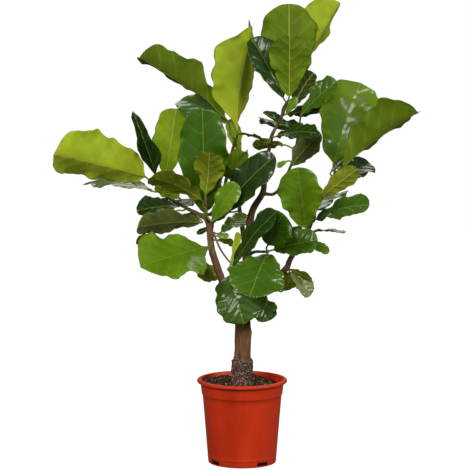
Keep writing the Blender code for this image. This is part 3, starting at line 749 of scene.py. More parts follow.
def noise(points, seed=0):
    """Smooth noise from -1 to 1: random values at whole-number points, blended along the three axes."""
    cell = np.floor(points).astype(np.int64)
    part = points - cell
    part = part * part * (3 - 2 * part)
    total = 0.0
    for corner in np.ndindex(2, 2, 2):
        key = (cell + corner) @ np.array([73856093, 19349663, 83492791]) + seed * 2654435761
        key = (key ^ (key >> 13)) * 1274126177 & 0x7FFFFFFF
        key = (key ^ (key >> 16)) * 668265263 & 0x7FFFFFFF
        share = np.prod(np.where(corner, part, 1 - part), axis=-1)
        total = total + share * (key / 0x3FFFFFFF - 1)
    return total


def ring_faces(rings, sides):
    """Quads between closed rings of equally many points.

    They face out if the rings turn left as they rise.
    """
    low = (np.arange(rings - 1) * sides)[:, None]
    k = np.arange(sides)[None, :]
    following = (k + 1) % sides
    return np.stack([low + k, low + following, low + sides + following, low + sides + k], -1).reshape(-1, 4)


def fan_faces(first, sides, tip, flip=False):
    """Triangles from a ring of points to a tip."""
    k = first + np.arange(sides)
    following = first + (np.arange(sides) + 1) % sides
    corners = [following, k] if flip else [k, following]
    return np.stack([*corners, np.full(sides, tip)], -1)


def with_ends(values):
    """Values on an array of rings as one list, with a value more for the middle of each end."""
    return np.vstack([values.reshape(-1, 3), values[0, 0], values[-1, 0]])


def closed_skin(rings):
    """Points, quads and triangles of a skin over an array of rings, closed by a fan at each end."""
    count, sides = rings.shape[:2]
    points = np.vstack([rings.reshape(-1, 3), rings[0].mean(0), rings[-1].mean(0)])
    triangles = np.vstack([
        fan_faces(0, sides, count * sides, flip=True),
        fan_faces((count - 1) * sides, sides, count * sides + 1),
    ])
    return points, ring_faces(count, sides), triangles


def place_object(data):
    """An object in the scene for a mesh, lamp or camera, with its name."""
    thing = bpy.data.objects.new(data.name, data)
    bpy.context.scene.collection.objects.link(thing)
    return thing


def make_piece(name, points, quads, triangles, materials, nodes=(), vectors=None, tint=None):
    """A smooth-shaded piece on the root body, with its point attributes.

    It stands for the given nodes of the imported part, or for none if it is only in the looks.
    """
    mesh = bpy.data.meshes.new(name)
    corners = np.concatenate([quads.ravel(), triangles.ravel()]).astype(np.int32)
    totals = np.concatenate([np.full(len(quads), 4), np.full(len(triangles), 3)]).astype(np.int32)
    mesh.vertices.add(len(points))
    mesh.vertices.foreach_set("co", np.ascontiguousarray(points, np.float32).ravel())
    mesh.loops.add(len(corners))
    mesh.loops.foreach_set("vertex_index", corners)
    mesh.polygons.add(len(totals))
    mesh.polygons.foreach_set("loop_start", (np.cumsum(totals) - totals).astype(np.int32))
    mesh.update(calc_edges=True)
    for key, values in (vectors or {}).items():
        layer = mesh.attributes.new(key, "FLOAT_VECTOR", "POINT")
        layer.data.foreach_set("vector", np.ascontiguousarray(values, np.float32).ravel())
    if tint is not None:
        layer = mesh.attributes.new("tint", "FLOAT_COLOR", "POINT")
        colours = np.column_stack([tint, np.ones(len(tint))])
        layer.data.foreach_set("color", np.ascontiguousarray(colours, np.float32).ravel())
    mesh.shade_smooth()
    for one in materials:
        mesh.materials.append(one)
    if mesh.validate():
        raise ValueError(f"{name} had faces that needed repair")
    piece = place_object(mesh)
    if nodes:
        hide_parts(*nodes)
    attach(piece, BODY)
    return piece


# Shader maths


class Value:
    """A shader socket that takes part in arithmetic."""

    def __init__(self, shader, socket):
        self.shader = shader
        self.socket = socket

    def maths(self, operation, first, second=None):
        """A Math node on one or two values."""
        inputs = {0: first} if second is None else {0: first, 1: second}
        return self.shader.add("ShaderNodeMath", {"operation": operation}, inputs)

    def __add__(self, other):
        return self.maths("ADD", self, other)

    __radd__ = __add__

    def __mul__(self, other):
        return self.maths("MULTIPLY", self, other)

    __rmul__ = __mul__

    def __sub__(self, other):
        return self.maths("SUBTRACT", self, other)

    def __rsub__(self, other):
        return self.maths("SUBTRACT", other, self)

    def __truediv__(self, other):
        return self.maths("DIVIDE", self, other)

    def __rtruediv__(self, other):
        return self.maths("DIVIDE", other, self)

    def __pow__(self, other):
        return self.maths("POWER", self, other)

    def __abs__(self):
        return self.maths("ABSOLUTE", self)

    def part(self):
        """What is left of the value after its whole number."""
        return self.maths("FRACT", self)

    def step(self, low, high):
        """0 where the value is under low, 1 where it is over high, and smooth between."""
        settings = {"interpolation_type": "SMOOTHSTEP", "clamp": True}
        return self.shader.add("ShaderNodeMapRange", settings, {0: self, 1: low, 2: high})


class Shader:
    """The node tree of one material, built by expressions."""

    def __init__(self, name):
        self.material = bpy.data.materials.new(name)
        self.material.use_nodes = True
        self.tree = self.material.node_tree
        self.surface = self.tree.nodes["Principled BSDF"]
        self.place = self.add("ShaderNodeTexCoord", {}, {}, "Object")

    def add(self, kind, settings, inputs, output=0):
        """A new node of this type with its settings, then its sockets' values or links."""
        node = self.tree.nodes.new(kind)
        for key, value in settings.items():
            if key == "stops":
                stops = node.color_ramp.elements
                for index, (position, colour) in enumerate(value):
                    stop = stops[index] if index < 2 else stops.new(position)
                    stop.position = position
                    stop.color = (*colour, 1.0)
            else:
                setattr(node, key, value)
        for key, value in inputs.items():
            self.feed(node.inputs[key], value)
        return Value(self, node.outputs[output])

    def feed(self, socket, value):
        """Links a value to a socket, or sets the socket."""
        if isinstance(value, Value):
            self.tree.links.new(value.socket, socket)
        elif isinstance(value, tuple) and len(value) == 3 and socket.type == "RGBA":
            socket.default_value = (*value, 1.0)
        else:
            socket.default_value = value

    def mix(self, factor, first, second, blend="MIX"):
        """Two colours mixed by a factor."""
        return self.add(
            "ShaderNodeMix", {"data_type": "RGBA", "blend_type": blend},
            {0: factor, 6: first, 7: second}, 2,
        )

    def grain(self, scale, detail=2.0, rough=0.5, stretch=None, place=None):
        """Noise from 0 to 1 over the piece, with `scale` lumps a metre, stretched by three factors."""
        place = place or self.place
        if stretch:
            place = self.add("ShaderNodeMapping", {}, {"Vector": place, "Scale": stretch})
        inputs = {"Vector": place, "Scale": scale, "Detail": detail, "Roughness": rough}
        return self.add("ShaderNodeTexNoise", {}, inputs)

    def cells(self, scale, feature="F1", output="Distance", place=None):
        """Voronoi cells over the piece, with `scale` cells a metre."""
        inputs = {"Vector": place or self.place, "Scale": scale}
        return self.add("ShaderNodeTexVoronoi", {"feature": feature}, inputs, output)

    def attribute(self, name, output="Vector"):
        """A point attribute of the piece."""
        return self.add("ShaderNodeAttribute", {"attribute_name": name}, {}, output)

    def parts(self, vector):
        """The x, y and z of a vector."""
        first = self.add("ShaderNodeSeparateXYZ", {}, {0: vector}, 0)
        node = first.socket.node
        return [Value(self, node.outputs[k]) for k in range(3)]

    def bump(self, height, distance, strength=1.0):
        """A normal for a height from 0 to 1 of this distance in metres."""
        inputs = {"Height": height, "Distance": distance, "Strength": strength}
        return self.add("ShaderNodeBump", {}, inputs)

    def finish(self, **sockets):
        """Feeds the surface's sockets, given with _ for spaces, and returns the material."""
        for name, value in sockets.items():
            self.feed(self.surface.inputs[name.replace("_", " ")], value)
        return self.material


# Materials


def kept(function):
    """Makes a material once and returns the same one afterwards."""
    made = {}

    def once(*values):
        if values not in made:
            made[values] = function(*values)
        return made[values]

    return once


@kept
def clay_material(colour):
    """Matte moulded plastic: flow marks, dust, light scuffs, a fine moulded grain, and darker over the lowest
    2 cm.
    """
    shader = Shader("terracotta_plastic")
    z = shader.parts(shader.place)[2]
    flow = shader.grain(9.0, 3.0, 0.55, (1, 1, 0.35))
    dust = shader.grain(60.0, 5.0, 0.7)
    scuff = shader.grain(240.0, 2.0, 0.5, (1, 1, 0.06)).step(0.62, 0.78)
    dark = tuple(c * 0.78 for c in colour)
    light = tuple(min(1.0, c * 1.12 + 0.006) for c in colour)
    base = shader.mix(flow.step(0.3, 0.7), dark, light)
    base = shader.mix(scuff * 0.10, base, (0.62, 0.16, 0.07))
    base = shader.mix(dust.step(0.55, 0.8) * 0.10, base, (0.30, 0.16, 0.10))
    # Darker towards the bottom over the lowest 2 cm of the pot.
    foot = 1 - z.step(0.0, 0.02)
    base = shader.mix(foot * 0.18, base, (0.16, 0.05, 0.025))
    fine = shader.grain(900.0, 2.0, 0.5)
    return shader.finish(
        Base_Color=base,
        Roughness=0.36 + dust * 0.14 + scuff * 0.1,
        Normal=shader.bump(fine * 0.6 + dust * 0.4, 0.00012),
        Specular_IOR_Level=0.3,
    )


@kept
def soil_material(colour):
    """Damp peat: near-black crumbs with brown fibres and a few pale grains."""
    shader = Shader("potting_soil")
    lump = shader.grain(160.0, 5.0, 0.65)
    crumb = shader.cells(380.0)
    fibre = shader.grain(500.0, 3.0, 0.6, (1, 0.15, 1))
    base = shader.mix(lump.step(0.35, 0.7), tuple(c * 0.4 for c in colour), tuple(c * 2.4 for c in colour))
    base = shader.mix(fibre.step(0.58, 0.7) * 0.7, base, (0.13, 0.075, 0.035))
    base = shader.mix((1 - crumb.step(0.05, 0.16)) * lump.step(0.5, 0.6), base, (0.34, 0.26, 0.17))
    return shader.finish(
        Base_Color=base,
        Roughness=0.72 + lump * 0.25,
        Normal=shader.bump(lump * 0.6 + crumb * 0.4, 0.0016),
        Specular_IOR_Level=0.12,
    )


@kept
def chip_material():
    """Bark chips, peat crumbs and pale grains, each in its own tint."""
    shader = Shader("soil_chips")
    grain = shader.grain(700.0, 4.0, 0.6)
    tint = shader.attribute("tint", "Color")
    base = shader.mix(grain.step(0.35, 0.7) * 0.6, tint, (0.03, 0.018, 0.012))
    return shader.finish(
        Base_Color=base, Roughness=0.7 + grain * 0.25, Normal=shader.bump(grain, 0.0006),
        Specular_IOR_Level=0.15,
    )


@kept
def bark_material(name, rough_foot):
    """Bark: streaks along the stem, pale specks and dark cracks, and a black corky collar at the foot."""
    shader = Shader(name)
    tint = shader.attribute("tint", "Color")
    strand = shader.attribute("strand")
    streak = shader.grain(1.0, 4.0, 0.6, None, strand)
    blotch = shader.grain(26.0, 3.0, 0.6)
    speck = shader.cells(420.0)
    crack = shader.grain(1.0, 5.0, 0.75, (2.6, 0.55, 1.0), strand)
    base = shader.mix(0.85, tint, streak.step(0.25, 0.75) + 0.65, "MULTIPLY")
    base = shader.mix(blotch.step(0.4, 0.7) * 0.55, base, (0.30, 0.185, 0.09))
    base = shader.mix(crack.step(0.56, 0.66) * 0.65, base, (0.022, 0.013, 0.009))
    base = shader.mix((1 - speck.step(0.10, 0.2)) * blotch.step(0.4, 0.6) * 0.5, base, (0.42, 0.30, 0.18))
    scar = 1 - shader.cells(1.0, "F1", "Distance", strand).step(0.16, 0.34)
    base = shader.mix(scar * streak.step(0.4, 0.6) * 0.6, base, (0.040, 0.022, 0.012))
    height = streak * 0.5 + (1 - crack.step(0.5, 0.7)) * 0.3 + (1 - scar) * 0.3
    roughness = 0.62 + streak * 0.3
    if rough_foot:
        z = shader.parts(shader.place)[2]
        edge = shader.grain(70.0, 3.0, 0.6) * 0.022
        collar = 1 - (z + edge).step(SOIL_TOP + 0.078, SOIL_TOP + 0.090)
        cork = shader.cells(260.0)
        tone = shader.grain(330.0, 3.0, 0.7)
        dark = shader.mix(tone.step(0.3, 0.7), (0.010, 0.007, 0.007), (0.125, 0.070, 0.055))
        dark = shader.mix((1 - cork.step(0.18, 0.42)) * tone.step(0.34, 0.46), dark, (0.66, 0.42, 0.33))
        base = shader.mix(collar, base, dark)
        height = height * (1 - collar) + (1 - cork) * collar
    return shader.finish(
        Base_Color=base, Roughness=roughness, Normal=shader.bump(height, 0.0018), Specular_IOR_Level=0.25,
    )


@kept
def leaf_material(gloss):
    """A leathery leaf: waxy above with pale sunk veins, duller and paler below with raised ones."""
    shader = Shader("fig_leaf")
    # Each leaf's tint holds its painted light and shade as well as its own green.
    tint = shader.attribute("tint", "Color")
    blade = shader.attribute("blade")
    x, _, phase = shader.parts(blade)
    under, pitch, _ = shader.parts(shader.attribute("side"))
    gap = abs(phase.part() - 0.5) * pitch
    side_vein = 1 - gap.step(0.0002, 0.0013)
    midrib = 1 - abs(x).step(0.0004, 0.0017)
    net = shader.cells(120.0, "DISTANCE_TO_EDGE", "Distance", blade)
    fine_net = 1 - net.step(0.0, 0.09)
    mottle = shader.grain(22.0, 3.0, 0.55)
    patch = shader.grain(9.0, 2.0, 0.5)
    speckle = shader.grain(420.0, 2.0, 0.6)
    faint = side_vein * mottle.step(0.3, 0.65)
    base = shader.mix(1.0, tint, mottle.step(0.2, 0.8) * 0.4 + 0.8, "MULTIPLY")
    warm = shader.mix(1.0, tint, (1.7, 1.15, 0.8), "MULTIPLY")
    base = shader.mix(patch.step(0.5, 0.8) * 0.45, base, warm)
    beside_vein = shader.mix(1.0, tint, (1.4, 1.25, 1.0), "MULTIPLY")
    base = shader.mix((1 - gap.step(0.001, 0.008)) * 0.2, base, beside_vein)
    netted = shader.mix(1.0, tint, (1.5, 1.35, 1.2), "MULTIPLY")
    base = shader.mix(fine_net * 0.18, base, netted)
    above = shader.mix(faint * 0.42, base, (0.230, 0.330, 0.030))
    above = shader.mix(midrib * 0.6, above, (0.260, 0.370, 0.030))
    below = shader.mix(faint * 0.5, base, (0.360, 0.380, 0.070))
    below = shader.mix(midrib * 0.8, below, (0.430, 0.460, 0.090))
    base = shader.mix(under, above, below)
    base = shader.mix(speckle.step(0.68, 0.8) * 0.1, base, (0.30, 0.32, 0.06))
    roughness = 0.4 + mottle * 0.2 + under * 0.15
    vein = side_vein * (1 - midrib) * 0.6 + midrib
    height = vein * (under * 2 - 1) * 0.6 + fine_net * (under * 0.3 - 0.15) + speckle * 0.08
    return shader.finish(
        Base_Color=base, Roughness=roughness, Normal=shader.bump(height, 0.0006), Specular_IOR_Level=0.16,
        Coat_Weight=(1 - under) * (0.62 - faint * 0.25), Coat_Roughness=gloss,
    )


# Pot and soil


def band_foot():
    """The height of the pot band's lower edge."""
    return POT_HEIGHT - LIP_HEIGHT - BAND_HEIGHT


def pot_bore(height):
    """The radius of the pot's bore at a height."""
    heights = (POT_FLOOR, band_foot() - BAND_STEP, POT_HEIGHT)
    radii = (POT_BASE_RADIUS, POT_SHOULDER_RADIUS, POT_NECK_RADIUS)
    return np.interp(height, heights, radii) - POT_WALL


def outer_wall(height):
    """The radius of the pot's outside below the band."""
    return np.interp(height, (FOOT_RADIUS, band_foot() - BAND_STEP), (POT_BASE_RADIUS, POT_SHOULDER_RADIUS))


def pot_outline():
    """The pot's outline, and where in it the drain slots' lower and upper edges are, outside and inside.

    From the middle of the underside it goes round the rounded foot, past a faint bead, up the tapered
    wall, over the band and the rolled lip, and down the bore to the floor.
    """
    foot = [
        (POT_BASE_RADIUS - FOOT_RADIUS + FOOT_RADIUS * math.sin(a), FOOT_RADIUS - FOOT_RADIUS * math.cos(a))
        for a in np.linspace(0, math.pi / 2, 5)
    ]
    inner = [(0.0, HOLLOW_DEPTH), (HOLLOW_RADIUS, HOLLOW_DEPTH), (HOLLOW_RADIUS + 0.002, 0.0), (0.060, 0.0)]
    wall = [(float(outer_wall(z)), z) for z in (POT_FLOOR, SLOT_TOP)]
    bead = [
        (float(outer_wall(z)) + depth, z)
        for z, depth in zip(BEAD_HEIGHTS, (0.0, BEAD_DEPTH, BEAD_DEPTH, 0.0))
    ]
    rise = [(float(outer_wall(z)), z) for z in np.linspace(0.03, band_foot() - BAND_STEP, 14)]
    turn = [
        (POT_BAND_RADIUS - 0.0011, band_foot() - 0.0009),
        (POT_BAND_RADIUS - 0.0003, band_foot() - 0.0003),
        (POT_BAND_RADIUS + 0.0001, band_foot() + 0.0012),
    ]
    top = POT_HEIGHT - LIP_HEIGHT
    band = [
        (float(np.interp(z, (band_foot(), top), (POT_BAND_RADIUS, POT_NECK_RADIUS))), z)
        for z in np.linspace(band_foot() + 0.003, top, 8)
    ]
    lip = LIP_HEIGHT / 2
    roll = [
        (POT_RIM_RADIUS - lip + lip * math.cos(a), POT_HEIGHT - lip + lip * math.sin(a))
        for a in np.radians(np.linspace(-80, 90, 14))
    ]
    mouth = float(pot_bore(POT_HEIGHT))
    bore = [
        (mouth + MOUTH_RADIUS, POT_HEIGHT),
        (mouth + 0.0007, POT_HEIGHT - 0.0007),
        (mouth, POT_HEIGHT - MOUTH_RADIUS),
    ]
    down = [
        (float(pot_bore(z)), z)
        for z in (0.205, 0.19, band_foot() - BAND_STEP, 0.10, 0.05, SLOT_TOP, POT_FLOOR)
    ]
    outline = inner + foot + wall + bead + rise + turn + band + roll + bore + down + [(0.0, POT_FLOOR)]
    first = len(inner) + len(foot)
    return np.array(outline), (first, first + 1, len(outline) - 3, len(outline) - 2)


def pot_skin(segments):
    """The pot's skin: its outline turned about Z.

    The cells of the drain slots are left out of both walls, and each slot gets a sill, a head and two
    jambs through the wall.
    """
    outline, (sill, head, inner_head, inner_sill) = pot_outline()
    half = SLOT_WIDTH / 2 / POT_BASE_RADIUS
    middles = np.radians(SLOT_FIRST_ANGLE + 360 / SLOT_COUNT * np.arange(SLOT_COUNT))
    per_slot = max(segments // (5 * SLOT_COUNT), 4)
    per_gap = max(segments // SLOT_COUNT - per_slot, 8)
    angles, in_slot = [], []
    for k, middle in enumerate(middles):
        following = middles[0] + 2 * math.pi if k + 1 == SLOT_COUNT else middles[k + 1]
        angles += [
            np.linspace(middle - half, middle + half, per_slot, endpoint=False),
            np.linspace(middle + half, following - half, per_gap, endpoint=False),
        ]
        in_slot += [np.ones(per_slot, bool), np.zeros(per_gap, bool)]
    angles, in_slot = np.concatenate(angles), np.concatenate(in_slot)
    count = len(angles)
    rows = outline[1:-1]
    rings = np.stack([
        rows[:, :1] * np.cos(angles), rows[:, :1] * np.sin(angles), np.repeat(rows[:, 1:], count, 1),
    ], -1)
    points = np.vstack([rings.reshape(-1, 3), [[0, 0, outline[0][1]], [0, 0, outline[-1][1]]]])
    quads = ring_faces(len(rows), count).reshape(len(rows) - 1, count, 4)
    keep = np.ones(quads.shape[:2], bool)
    sill, head, inner_head, inner_sill = sill - 1, head - 1, inner_head - 1, inner_sill - 1
    keep[sill, in_slot] = False
    keep[inner_head, in_slot] = False
    k = np.flatnonzero(in_slot)
    n = (k + 1) % count
    sill, head, inner_head, inner_sill = (row * count for row in (sill, head, inner_head, inner_sill))
    sills = np.stack([sill + k, sill + n, inner_sill + n, inner_sill + k], -1)
    heads = np.stack([inner_head + k, inner_head + n, head + n, head + k], -1)
    first = np.flatnonzero(in_slot & ~np.roll(in_slot, 1))
    last = (np.flatnonzero(in_slot & ~np.roll(in_slot, -1)) + 1) % count
    start = np.stack([sill + first, inner_sill + first, inner_head + first, head + first], -1)
    end = np.stack([sill + last, head + last, inner_head + last, inner_sill + last], -1)
    everything = np.vstack([quads[keep], sills, heads, start, end])
    triangles = np.vstack([
        fan_faces(0, count, len(points) - 2, flip=True),
        fan_faces((len(rows) - 1) * count, count, len(points) - 1),
    ])
    return points, everything, triangles


def soil_height(x, y, lumps):
    """The height of the soil's surface.

    It is flat in the middle and falls a little to the wall, rises towards the back left, and has noise
    of three sizes added.
    """
    radius = np.hypot(x, y)
    edge = float(pot_bore(SOIL_TOP))
    crown = SOIL_CROWN * np.clip((radius - 0.7 * edge) / (0.3 * edge), 0, 1)
    place = np.stack([x, y, 0 * x], -1)
    rough = sum(share * noise(place * scale, seed) for scale, share, seed in SOIL_LUMPS)
    heap = SOIL_HEAP * np.clip(0.55 + (0.7 * y - 0.7 * x) / edge, 0, 1)
    return SOIL_TOP - crown + heap + lumps * rough


def soil_skin(lumps):
    """The soil: a lumpy disc closed down the pot's bore to the floor, as (radius, angle) rings."""
    angles = np.arange(SOIL_SIDES) * 2 * math.pi / SOIL_SIDES
    edge = float(pot_bore(SOIL_TOP)) - CLEARANCE
    heights = np.array([
        POT_FLOOR + CLEARANCE, 0.06, 0.12, band_foot() - BAND_STEP, SOIL_TOP - 3 * SOIL_CROWN,
    ])
    sides = pot_bore(heights) - CLEARANCE
    radii = np.linspace(edge, 0.004, SOIL_RINGS)
    low = np.stack([
        sides[:, None] * np.cos(angles),
        sides[:, None] * np.sin(angles),
        np.repeat(heights[:, None], SOIL_SIDES, 1),
    ], -1)
    x, y = radii[:, None] * np.cos(angles), radii[:, None] * np.sin(angles)
    high = np.stack([x, y, soil_height(x, y, lumps)], -1)
    return closed_skin(np.concatenate([low, high]))


def ball():
    """A ball of 12 points and 20 triangles."""
    g = (1 + math.sqrt(5)) / 2
    points = unit([
        (-1, g, 0), (1, g, 0), (-1, -g, 0), (1, -g, 0), (0, -1, g), (0, 1, g),
        (0, -1, -g), (0, 1, -g), (g, 0, -1), (g, 0, 1), (-g, 0, -1), (-g, 0, 1),
    ])
    triangles = np.array([
        (0, 11, 5), (0, 5, 1), (0, 1, 7), (0, 7, 10), (0, 10, 11), (1, 5, 9), (5, 11, 4),
        (11, 10, 2), (10, 7, 6), (7, 1, 8), (3, 9, 4), (3, 4, 2), (3, 2, 6), (3, 6, 8),
        (3, 8, 9), (4, 9, 5), (2, 4, 11), (6, 2, 10), (8, 6, 7), (9, 8, 1),
    ])
    return points, triangles


def chips_skin(count, lumps):
    """Chips that lie on the soil, as points, triangles and tints.

    Each is a ball squashed along three random sizes, with its corners pushed about, turned at random
    and half sunk into the surface.
    """
    draw = np.random.default_rng(CHIP_SEED)
    ball_points, ball_faces = ball()
    corners = len(ball_points)
    inner = STEMS[0].route[1][3] + TRUNK_GAP
    outer = float(pot_bore(SOIL_TOP)) - WALL_GAP
    radius = np.sqrt(draw.uniform(inner**2, outer**2, count))
    angle = draw.uniform(0, 2 * math.pi, count)
    size = draw.uniform(*CHIP_LENGTHS, count)
    sizes = size[:, None] * draw.uniform(*CHIP_SHAPES, (count, 3))
    turn = draw.uniform(0, 2 * math.pi, count)
    tilt = draw.normal(0, CHIP_TILT, count)
    local = ball_points[None] * sizes[:, None] * draw.uniform(0.75, 1.25, (count, corners, 1))
    x = local[..., 0]
    y = local[..., 1] * np.cos(tilt)[:, None] - local[..., 2] * np.sin(tilt)[:, None]
    z = local[..., 1] * np.sin(tilt)[:, None] + local[..., 2] * np.cos(tilt)[:, None]
    px, py = radius * np.cos(angle), radius * np.sin(angle)
    cos, sin = np.cos(turn)[:, None], np.sin(turn)[:, None]
    pz = soil_height(px, py, lumps) + sizes[:, 2] * CHIP_RISE
    points = np.stack([
        px[:, None] + x * cos - y * sin, py[:, None] + x * sin + y * cos, pz[:, None] + z,
    ], -1)
    triangles = (ball_faces[None] + corners * np.arange(count)[:, None, None]).reshape(-1, 3)
    tints = np.repeat(CHIP_TINTS[draw.choice(len(CHIP_TINTS), count, p=CHIP_SHARES)], corners, 0)
    return points.reshape(-1, 3), triangles, tints


# Stems


def circles(along, hint, sides):
    """Angles round a tube, and for each direction of its middle line the circle of unit steps across it."""
    side = across(np.tile(hint, (len(along), 1)), along)
    up = np.cross(along, side)
    angle = np.arange(sides) * 2 * math.pi / sides
    return angle, np.cos(angle)[None, :, None] * side[:, None] + np.sin(angle)[None, :, None] * up[:, None]


def tube_places(angle, walked, round_scale, along_scale):
    """Places on a tube for noise: the angle as a point of a circle, and the way along the tube."""
    around = np.stack([np.cos(angle), np.sin(angle)], -1) * round_scale
    return np.concatenate([
        np.repeat(around[None], len(walked), 0),
        np.repeat(walked[:, None, None] * along_scale, len(angle), 1),
    ], -1)


def stem_skin(stem, route, outward, bark_depth, collar_depth):
    """A stem's skin, its strand coordinates and its tints.

    It is a circle of the route's radius carried along the route, pushed out by noise that is long
    along the stem. The trunk's foot is pushed out by corky lumps, and limbs swell where they start.
    """
    length = np.linalg.norm(np.diff(route[:, :3], axis=0), axis=1).sum()
    count = int(np.clip(length / RING_SPACING, 40, 320))
    sides = LIMB_SIDES if stem.parent else TRUNK_SIDES
    first = 0.0 if stem.parent else TRUNK_FIRST
    centre, radius, along = on_route(route, np.linspace(first, len(route) - 1, count))
    if stem.parent:
        centre = np.vstack([centre[:1] - outward * radius[0] * LIMB_SUNK, centre])
        radius = np.append(radius[0], radius)
        along = np.vstack([outward, along])
        along[1] = unit(along[1] + outward)
    walked = np.append(0, np.cumsum(np.linalg.norm(np.diff(centre, axis=0), axis=1)))
    angle, ring = circles(along, (0.001, 1.001, 0.001), sides)
    seed = len(stem.name)  # so that stems differ
    coarse = noise(tube_places(angle, walked, 2.6, 38), seed)
    fine = noise(tube_places(angle, walked, 6.5, 90), seed + 1)
    push = bark_depth * np.clip(radius / 0.02, 0.25, 1.2)[:, None] * (1.1 * coarse + 0.8 * fine)
    if stem.parent:
        nodes = 0.10 * radius * np.maximum(0, np.cos(walked / NODE_SPACING * 2 * math.pi)) ** 10
        flare = FLARE * radius[0] * np.exp(-walked / (1.3 * radius[0]))
        push = push + (nodes + flare)[:, None]
        share = np.clip((walked / walked[-1] - 0.25) / 0.5, 0, 1)[:, None, None]
    else:
        solid = centre[:, None] + ring * radius[:, None, None]
        lumps = noise(solid * 190, 21) + 0.7 * noise(solid * 420, 22)
        in_collar = 1 / (1 + np.exp((centre[:, 2] - SOIL_TOP - COLLAR_TOP) / COLLAR_FADE))
        push = push + collar_depth * in_collar[:, None] * lumps
        knots = np.exp(-(((centre[:, 2] - KNOT_HEIGHT) / KNOT_SPREAD) ** 2))
        push = push + KNOT_DEPTH * knots[:, None] * np.clip(np.cos(angle + KNOT_TURN), 0, 1)[None]
        share = np.clip((centre[:, 2] - GREEN_FROM) / GREEN_OVER, 0, 1)[:, None, None]
    rings = centre[:, None] + ring * (radius[:, None] + push)[..., None]
    low, high = (np.array(c) for c in STEM_TINTS[stem.name])
    tint = np.broadcast_to(low + (high - low) * share, rings.shape)
    strand = tube_places(angle, walked, 3.2, 45) * np.array([1.6, 1.6, 0.55])
    return *closed_skin(rings), with_ends(strand), with_ends(tint)


# Leaves


def half_width(shape, t):
    """The blade's half width at the share t of its length, as a share of the leaf's half width.

    It rises as a power of t, falls as a power of 1 - t to a blunt tip, and is drawn in by a waist
    below the middle.
    """
    rise, fall, waist = OUTLINES[shape]
    peak = rise / (rise + fall)
    highest = peak**rise * (1 - peak) ** fall
    pinch = 1 - waist * np.exp(-(((t - WAIST_AT) / WAIST_SPREAD) ** 2))
    return t**rise * (1 - t) ** fall / highest * pinch


def leaf_rows():
    """The petiole's shares and the blade's shares of the leaf, closer together at the base and the tip."""
    petiole = np.linspace(0, 1, PETIOLE_ROWS, endpoint=False)
    q = np.linspace(0, 1, BLADE_ROWS + 1)[1:]
    blade = 0.4 * q + 0.6 * (0.5 - 0.5 * np.cos(math.pi * q))
    return petiole, np.minimum(blade, 0.9995)


def margins(leaf, t, half, shifts):
    """The blade's half widths on its two sides: its outline or its own table, times (1 + lobes).

    The lobes are one slow and one quick sine along the blade, with shifts of their own on each side.
    """
    sides = []
    for k in range(2):
        if leaf.name in MARGINS:
            stations, *widths = MARGINS[leaf.name]
            own = np.interp(t, stations, widths[k]) * leaf.width / 2
            half = np.maximum(own, PETIOLE_RADIUS * (1 - t) ** 0.4)
        lobes = sum(
            depth * np.sin(2 * math.pi * (rate * t + shift))
            for depth, rate, shift in zip(LOBES, LOBE_RATES, shifts[k::2])
        )
        sides.append(half * (1 + lobes * np.clip(t / 0.1, 0, 1)))
    return sides


def leaf_middle(leaf, start, base, outward):
    """The leaf's middle line, its upward and its sideways directions, and its shares of the blade.

    The petiole is a cubic curve that leaves the stem outwards and meets the blade in line with it, with
    share 0. The midrib is a parabola from the blade's base to its tip, with shares up to nearly 1.
    """
    reach = np.array(leaf.reach, float)
    normal = across(np.array(leaf.face, float), reach)
    bend = 4 * np.linalg.norm(reach) * leaf.arch * normal
    s, t = (shares[:, None] for shares in leaf_rows())
    lead = PETIOLE_LEAD * np.linalg.norm(base - start)
    first = start + outward * lead
    second = base - unit(reach + bend) * lead
    stalk = (1 - s) ** 3 * start + 3 * (1 - s) ** 2 * s * first + 3 * (1 - s) * s**2 * second + s**3 * base
    stalk_way = (1 - s) ** 2 * (first - start) + 2 * (1 - s) * s * (second - first) + s**2 * (base - second)
    centre = np.vstack([stalk, base + reach * t + bend * t * (1 - t)])
    heading = unit(np.vstack([stalk_way, reach + bend * (1 - 2 * t)]))
    up = across(np.broadcast_to(normal, heading.shape), heading)
    return centre, up, np.cross(up, heading), np.append(np.zeros(PETIOLE_ROWS), t)


def leaf_sizes(leaf, t):
    """The leaf's half widths, before its margin's lobes, and its half thicknesses.

    Both are the petiole's radius on the petiole, which swells at its foot. The blade thins from that to
    the leaf's thickness, and again towards its tip.
    """
    stalk = PETIOLE_RADIUS * (1 + 0.35 * np.exp(-np.arange(len(t)) / 1.2))
    half = np.where(t > 0, leaf.width / 2 * half_width(leaf.shape, np.maximum(t, 1e-6)), 0)
    half = np.maximum(half, np.where(t > 0, PETIOLE_RADIUS * (1 - t) ** 0.4, stalk))
    half[-1] = min(half[-1], TIP_HALF_WIDTH)
    thick = LEAF_THICKNESS / 2 + (PETIOLE_RADIUS - LEAF_THICKNESS / 2) * (1 - t) ** 8
    thick = np.where(t > 0.9, thick * np.sqrt(np.maximum(1 - t, 0.0005) / 0.1), thick)
    return half, np.where(t > 0, thick, stalk)


def leaf_sections(on_blade):
    """Each section's ring, as u across it, v through it, and 1 on the under side.

    The ring is a circle on the petiole and a long flat shape on the blade, with its points closer
    together near its edges.
    """
    p = np.linspace(0, 1, LEAF_COLUMNS + 1)
    round_u, round_v = np.cos(math.pi * p), np.sin(math.pi * p)
    flat_u = 0.35 * round_u + 0.65 * (1 - 2 * p)
    flat_v = np.sqrt(np.maximum(1 - flat_u**2, 0)) ** 0.5
    u = round_u + (flat_u - round_u) * on_blade[:, None]
    v = round_v + (flat_v - round_v) * on_blade[:, None]
    below = np.concatenate([np.zeros(LEAF_COLUMNS + 1), np.ones(LEAF_COLUMNS - 1)])
    below[[0, LEAF_COLUMNS]] = 0.5
    return np.concatenate([u, u[:, -2:0:-1]], 1), np.concatenate([v, -v[:, -2:0:-1]], 1), below


